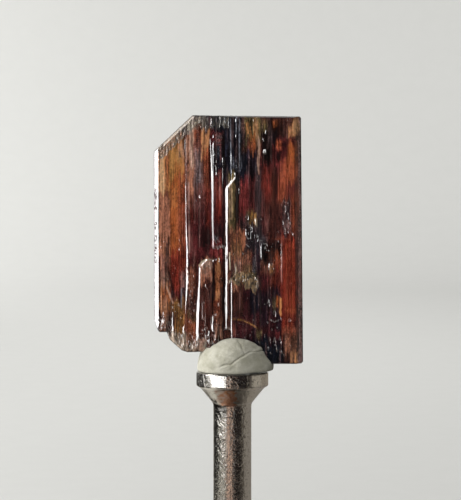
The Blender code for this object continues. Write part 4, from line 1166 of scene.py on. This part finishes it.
def nickel():
    """Nickel plating on a turned steel rod: a bright mirror, scuffed on its left side by scratches and
    specks, copper-coloured down the front of its neck, with a dark spot at the neck's lower left and
    painted shade on the shaft under the neck. Its turning marks are drawn 0.035 mm apart, coarser than
    a fine cut leaves them, so that they show."""
    material, tree, shader = new_material("nickel_plated_steel", Metallic=1.0)
    place = add(tree, "ShaderNodeTexCoord").outputs["Object"]
    in_mm = add(tree, "ShaderNodeVectorMath", {"operation": "SCALE"},
                links={0: place}, values={"Scale": 1.0 / MM}).outputs[0]
    across, deep, up = add(tree, "ShaderNodeSeparateXYZ", links={"Vector": in_mm}).outputs
    marks = texture(tree, (0.5, 0.5, 0.035), detail=2.0)
    scratches = texture(tree, (0.34, 0.34, 0.44), roughness=0.65)
    specks = texture(tree, (0.16, 0.16, 0.18), roughness=0.7)
    worn = mask(tree, (texture(tree, (0.35, 0.35, 0.3)), 0.4, 0.6))
    front = mask(tree, (deep, -0.2, -0.8))
    # Scuffs: all over the rod's left side, and on the rim at its left edge and round its middle.
    on_rod = mask(tree, (across, -0.1, -0.5, 0.08, 1.0), (up, NECK_FOOT + 0.15, NECK_FOOT - 0.45),
                  (worn, 0.0, 1.0, 0.8, 1.0))
    middle = mask(tree, (across, -0.6, -0.5, 0.0, 0.35), (across, 1.5, 1.2))
    edge = mask(tree, (across, -2.1, -2.4, 0.0, 0.4))
    rim_wear = add(tree, "ShaderNodeMath", {"operation": "MAXIMUM"}, links={0: middle, 1: edge}).outputs[0]
    on_rim = mask(tree, worn, rim_wear)
    scuffed = add(tree, "ShaderNodeMath", {"operation": "MAXIMUM"}, links={0: on_rod, 1: on_rim}).outputs[0]
    # Copper: a strip down the front of the neck, whose sides wander.
    wander = mask(tree, (texture(tree, (0.5, 0.5, 0.4)), 0.3, 0.7, -0.4, 0.4))
    strip = add(tree, "ShaderNodeMath", {"operation": "ADD"}, links={0: across, 1: wander}).outputs[0]
    copper = mask(tree, (up, NECK_FOOT - 0.15, NECK_FOOT + 0.05), (up, RIM_FOOT, RIM_FOOT - 0.2),
                  (strip, -1.4, -0.7), (strip, 0.4, 0.1), front, (worn, 0.0, 1.0, 0.75, 1.0))
    # A dark spot with a torn edge at the neck's lower left, and painted shade in a collar under the neck.
    torn = texture(tree, (0.3, 0.3, 0.14), detail=2.0)
    spot = mask(tree, (across, -1.95, -1.8), (across, -1.2, -1.35), (up, NECK_FOOT, NECK_FOOT + 0.15),
                (up, NECK_FOOT + 0.65, NECK_FOOT + 0.45), (torn, 0.46, 0.52), front)
    collar = mask(tree, (up, NECK_FOOT - 1.25, NECK_FOOT - 0.45), (up, NECK_FOOT + 0.05, NECK_FOOT - 0.05),
                  front, (across, -0.35, -0.6, 0.0, 0.8))
    spot_and_painted_shade = add(tree, "ShaderNodeMath", {"operation": "MAXIMUM"}, links={0: spot, 1: collar}).outputs[0]
    colour = coated(tree, "d2cec8", ("8f8983", mask(tree, (specks, 0.55, 0.68))), ("b98468", copper),
                    ("2c2824", spot_and_painted_shade))
    tree.links.new(colour, shader.inputs["Base Color"])
    speckled = mask(tree, (specks, 0.4, 0.7, 0.05, 0.26))
    satin = mask(tree, (up, NECK_FOOT - 0.15, NECK_FOOT + 0.15),
                 (up, RIM_FOOT - 0.05, RIM_FOOT - 0.2, 0.0, 0.3))
    rough = add(tree, "ShaderNodeMath", {"operation": "MAXIMUM"}, links={0: speckled, 1: satin}).outputs[0]
    tree.links.new(rough, shader.inputs["Roughness"])
    emboss(tree, shader, (marks, 0.002), (mask(tree, scratches, scuffed), 0.13), (specks, 0.006))
    return material


def satin_nickel():
    """Satin nickel plate on the foot: brushed in circles, so it has a soft sheen. The brushing is drawn
    0.12 mm wide, several times as coarse as real grit leaves it, so that it shows."""
    material, tree, shader = new_material("satin_nickel_plate", Metallic=1.0)
    place = add(tree, "ShaderNodeTexCoord").outputs["Object"]
    flat = add(tree, "ShaderNodeVectorMath", {"operation": "MULTIPLY"},
               links={0: place}, values={1: (1.0, 1.0, 0.0)}).outputs[0]
    radius = add(tree, "ShaderNodeVectorMath", {"operation": "LENGTH"}, links={0: flat}).outputs["Value"]
    brushing = add(tree, "ShaderNodeTexNoise", {"noise_dimensions": "1D"}, links={"W": radius},
                   values={"Scale": per_mm(0.12), "Detail": 3.0}).outputs["Fac"]
    cloud = texture(tree, (2.5, 2.5, 2.5), detail=4.0)
    colour = coated(tree, "b9b4ab", ("a8a298", mask(tree, (cloud, 0.35, 0.65))))
    tree.links.new(colour, shader.inputs["Base Color"])
    tree.links.new(mask(tree, (cloud, 0.3, 0.7, 0.3, 0.42)), shader.inputs["Roughness"])
    emboss(tree, shader, (brushing, 0.006))
    return material


# The studio. Angles run round the object from the camera, positive to the right.
FLOOR_FLAT = 300.0  # the floor is level this far out, then turns up into a low wall
FLOOR_TURN = 120.0
FLOOR_WALL = 260.0
FLOOR_COLUMNS = 96
CAMERA_DISTANCE = 230.0  # on the level
CAMERA_PLACE = (-0.155, 41.32)  # across, and above the floor
CAMERA_PITCH = math.radians(3.634)
VIEW_HEIGHT = 41.81  # what the frame takes in at that distance
AIM = (0.0, 0.0, 26.8)
SIDE_LAMP = (-85, 210.0, 85.0, 120.0, 0.4)  # angle, distance, height, size and power
WALL_LAMP = (-152, 320.0, 110.0, -24, 80.0, 0.182)  # and after the height, how far round it aims
FLOOR_LAMP = (-168, 170.0, 110.0, 140.0, 0.052)  # as the side lamp's; it faces down
# How strong those two are in each quarter round, from the first one, which is behind the object.
QUARTER_SHARES = (1.0, 0.8, 0.4, 0.4)
# Cards that only reflections see, as (name, from angle, to angle, (colour, strength)), with the lower and
# upper end after the angles where they differ. The near ones are what the pin mirrors, its rim above and
# its shaft below, and the far ones what the crystal does.
NEAR, FAR = 22.0, 36.0
RIM_CARDS = [
    ("rim_left", -170, -129, ("4c4a46", 1.0)), ("rim_glint", -128, -124, ("ffffff", 1.0)),
    ("rim_shadow", -124, -92, ("464440", 1.0)), ("rim_grey", -92, -67, ("8a8880", 1.0)),
    ("rim_window", -67, -24, ("ffffff", 3.0)), ("rim_haze", -24, -10, ("98948c", 1.0)),
    ("rim_middle", -10, 10, ("58524e", 1.0)), ("rim_dark", 10, 20, ("343032", 1.0)),
    ("rim_streak", 20, 29, ("5a5456", 1.0)), ("rim_black", 29, 50, ("1c191a", 1.0)),
    ("rim_side", 50, 61, ("58524c", 1.0)), ("rim_wall", 61, 100, ("aea89c", 1.0)),
    ("rim_right", 100, 170, ("948c80", 1.0)),
]
SHAFT_CARDS = [
    ("shaft_back", -178, -156, ("c8c4b8", 1.0)), ("shaft_left", -156, -112, ("2e2d2a", 1.0)),
    ("shaft_shadow", -112, -72, ("262522", 1.0)), ("shaft_window", -72, -54, ("fffcf0", 0.95)),
    ("shaft_grey", -54, -22, ("504c45", 1.0)),
    ("shaft_copper", -22, -5, ("c8ab9a", 1.65)), ("shaft_middle", -5, 8, ("4a3c36", 1.0)),
    ("shaft_dark", 10, 56, ("26211f", 1.0)), ("shaft_side", 56, 72, ("5a544c", 1.0)),
    ("shaft_wall", 72, 170, ("8e8880", 1.0)),
]
CRYSTAL_CARDS = [
    ("window", -84, -62, 13.0, 76.0, ("ffffff", 6.5)),
    ("high_window", -115, -40, 76.0, 120.0, ("b8b4aa", 1.0)),
    ("dark_left", -62, -18, 13.0, 76.0, ("1e1a1a", 1.0)),
    ("dark_front", -18, 62, 13.0, 120.0, ("161414", 1.0)),
    ("dark_high_left", -40, -18, 76.0, 120.0, ("161414", 1.0)),
    ("wall", 62, 100, 13.0, 120.0, ("4c4844", 1.0)),
    ("shadow", -150, -84, 13.0, 76.0, ("302c2a", 1.0)),
    ("shadow_right", 100, 150, 13.0, 120.0, ("302c2a", 1.0)),
]
RIM_SPAN, SHAFT_SPAN = (12.4, 14.9), (0.2, 12.4)
LID_HEIGHT = 120.0
RING, RING_HEIGHT = (9.3, 21.9), 0.1  # what the neck mirrors
SECTORS = [("ring_left", -180, -52, ("dedace", 1.0)), ("ring_front", -52, 72, ("554f49", 1.0)),
           ("ring_right", 72, 180, ("968f84", 1.0))]
# The room's light: dim from the right and below, and bright from the window's side.
ROOM_DIM, ROOM_BRIGHT = ("6e6e6c", 0.6), ("ffffff", 1.14)
WINDOW_SIDE = (-0.86, -0.28, 0.42)
ROOM_FADE = (-0.35, 0.85)  # from which to which cosine with that side it goes from dim to bright


def from_round(angle, distance, height):
    """A place round the object, at an angle in degrees from the camera's side."""
    turn = math.radians(angle)
    return (distance * math.sin(turn), -distance * math.cos(turn), height)


def make_floor():
    """A plain floor that turns up all round: a level disc, a quarter circle and a low wall, spun round Z."""
    turn = np.linspace(0.0, 0.5 * math.pi, 17)
    radii = np.concatenate([[30.0, 120.0], FLOOR_FLAT + FLOOR_TURN * np.sin(turn), [FLOOR_FLAT + FLOOR_TURN]])
    heights = np.concatenate([[0.0, 0.0], FLOOR_TURN * (1 - np.cos(turn)), [FLOOR_WALL]])
    place = spun(np.stack([radii, heights], axis=-1), FLOOR_COLUMNS)
    index = numbers(place[..., 0])
    cap = np.stack([index[0], np.roll(index[0], -1), np.full(FLOOR_COLUMNS, index.size)], axis=-1)
    points = np.concatenate([place.reshape(-1, 3), [[0, 0, 0]]])
    floor = make_mesh("floor", points, [grid_quads(index, wrap=True)[:, ::-1], cap])
    floor.data.shade_smooth()
    # Uncoated paper: matt and even, with a faint cloudiness.
    material, tree, shader = new_material("matt_paper", Roughness=0.9, Specular_IOR_Level=0.2)
    colour = coated(tree, "d6d6d2", ("dadad6", texture(tree, (3.0, 3.0, 3.0), detail=4.0)))
    tree.links.new(colour, shader.inputs["Base Color"])
    floor.data.materials.append(material)
    floor.visible_diffuse = False
    return floor


def glowing(card, colour, strength):
    """Gives a card an even glow that only reflections see."""
    material = bpy.data.materials.new(card.name)
    material.use_nodes = True
    tree = material.node_tree
    tree.nodes.clear()
    glow = add(tree, "ShaderNodeEmission", values={"Color": (*srgb(colour), 1.0), "Strength": strength})
    add(tree, "ShaderNodeOutputMaterial", links={"Surface": glow.outputs[0]})
    card.data.materials.append(material)
    for sight in ("visible_camera", "visible_diffuse", "visible_transmission", "visible_shadow"):
        setattr(card, sight, False)
    return card


def make_strip(name, start, stop, distances, heights):
    """A strip round the object between two angles, whose two edges have their own distance and height."""
    turn = np.radians(np.linspace(start, stop, 25))[:, None]
    across, deep = np.sin(turn) * distances, -np.cos(turn) * distances
    place = np.stack(np.broadcast_arrays(across, deep, heights), axis=-1)
    return make_mesh(name, place, [grid_quads(numbers(place[..., 0]))])


def make_card(name, distance, start, stop, low, high, colour, strength):
    """A curved card round the object: part of a cylinder between two angles and two heights."""
    return glowing(make_strip(name, start, stop, (distance, distance), (low, high)), colour, strength)


def make_sector(name, start, stop, colour, strength):
    """Part of a flat ring round the foot, between two angles, for reflections alone."""
    return glowing(make_strip(name, start, stop, RING, (RING_HEIGHT, RING_HEIGHT)), colour, strength)


def make_lid():
    """A dark disc over the cards, for reflections alone."""
    rim = spun([(FAR, LID_HEIGHT)], 24)
    lid = make_mesh("dark_lid", rim, [numbers(rim[..., 0])])
    return glowing(lid, "161414", 1.0)


def make_lamp(name, place, aim, size, power):
    """A soft square lamp at one place that faces another, and lights only what scatters light."""
    data = bpy.data.lights.new(name, "AREA")
    data.shape = "SQUARE"
    data.size = size * MM
    data.energy = power
    lamp = bpy.data.objects.new(name, data)
    lamp.location = np.array(place) * MM
    way = np.array(aim) - place
    tilt = math.acos(-way[2] / np.linalg.norm(way))
    lamp.rotation_euler = (tilt, 0.0, math.atan2(way[1], way[0]) - math.pi / 2)
    bpy.context.scene.collection.objects.link(lamp)
    lamp.visible_camera = False
    lamp.visible_glossy = False
    lamp.visible_transmission = False


def make_lamps():
    """A side lamp for the object, and in each quarter round it a lamp that lights the floor's wall and one
    that lights the floor."""
    make_lamp("side", from_round(SIDE_LAMP[0], *SIDE_LAMP[1:3]), AIM, *SIDE_LAMP[3:])
    for quarter, share in enumerate(QUARTER_SHARES):
        angle, distance, height, ahead, size, power = WALL_LAMP
        turn = angle + 90.0 * quarter
        aim = from_round(turn + ahead, FLOOR_FLAT + FLOOR_TURN, 0.6 * height)
        make_lamp(f"wall_{quarter}", from_round(turn, distance, height), aim, size, power * share)
        angle, distance, height, size, power = FLOOR_LAMP
        turn = angle + 90.0 * quarter
        aim = from_round(turn, distance, 0.0)
        make_lamp(f"floor_{quarter}", from_round(turn, distance, height), aim, size, power * share ** 2)


def make_world():
    """Light from all sides, brightest from the window's side."""
    world = bpy.data.worlds.new("pale_room")
    world.use_nodes = True
    tree = world.node_tree
    way = add(tree, "ShaderNodeTexCoord").outputs["Generated"]
    facing = add(tree, "ShaderNodeVectorMath", {"operation": "DOT_PRODUCT"}, links={0: way},
                 values={1: WINDOW_SIDE}).outputs["Value"]
    dim, bright = (np.array([*srgb(colour) * strength, 1.0]) for colour, strength in (ROOM_DIM, ROOM_BRIGHT))
    glow = add(tree, "ShaderNodeMix", {"data_type": "RGBA"},
               links={"Factor": mask(tree, (facing, *ROOM_FADE))}, values={6: dim, 7: bright})
    tree.links.new(glow.outputs[2], tree.nodes["Background"].inputs["Color"])
    bpy.context.scene.world = world
    bpy.context.scene.view_settings.view_transform = "Standard"


def make_camera():
    """A long lens, level with the crystal's top and looking slightly down."""
    data = bpy.data.cameras.new("camera")
    data.sensor_width = 36.0
    data.lens = data.sensor_width * CAMERA_DISTANCE / VIEW_HEIGHT
    data.clip_start, data.clip_end = 0.01, 20.0
    camera = bpy.data.objects.new("camera", data)
    camera.location = np.array((CAMERA_PLACE[0], -CAMERA_DISTANCE, CAMERA_PLACE[1])) * MM
    camera.rotation_euler = (math.pi / 2 - CAMERA_PITCH, 0.0, 0.0)
    bpy.context.scene.collection.objects.link(camera)
    bpy.context.scene.camera = camera


def main():
    dressed = [
        (make_crystal(), "brookite_crystal", "brookite"),
        (make_putty(), "putty", "putty"),
        (make_pin(), "pin", "nickel"),
        (make_foot(), "foot", "satin_nickel"),
    ]
    for piece, node, slot in dressed:
        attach(piece, "root")
        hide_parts(node)
    make_floor()
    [make_card(name, NEAR, *sweep, *RIM_SPAN, *glow) for name, *sweep, glow in RIM_CARDS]
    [make_card(name, NEAR, *sweep, *SHAFT_SPAN, *glow) for name, *sweep, glow in SHAFT_CARDS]
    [make_card(name, FAR, *where, *glow) for name, *where, glow in CRYSTAL_CARDS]
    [make_sector(name, *sweep, *glow) for name, *sweep, glow in SECTORS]
    make_lid()
    make_world()
    make_lamps()
    make_camera()


main()
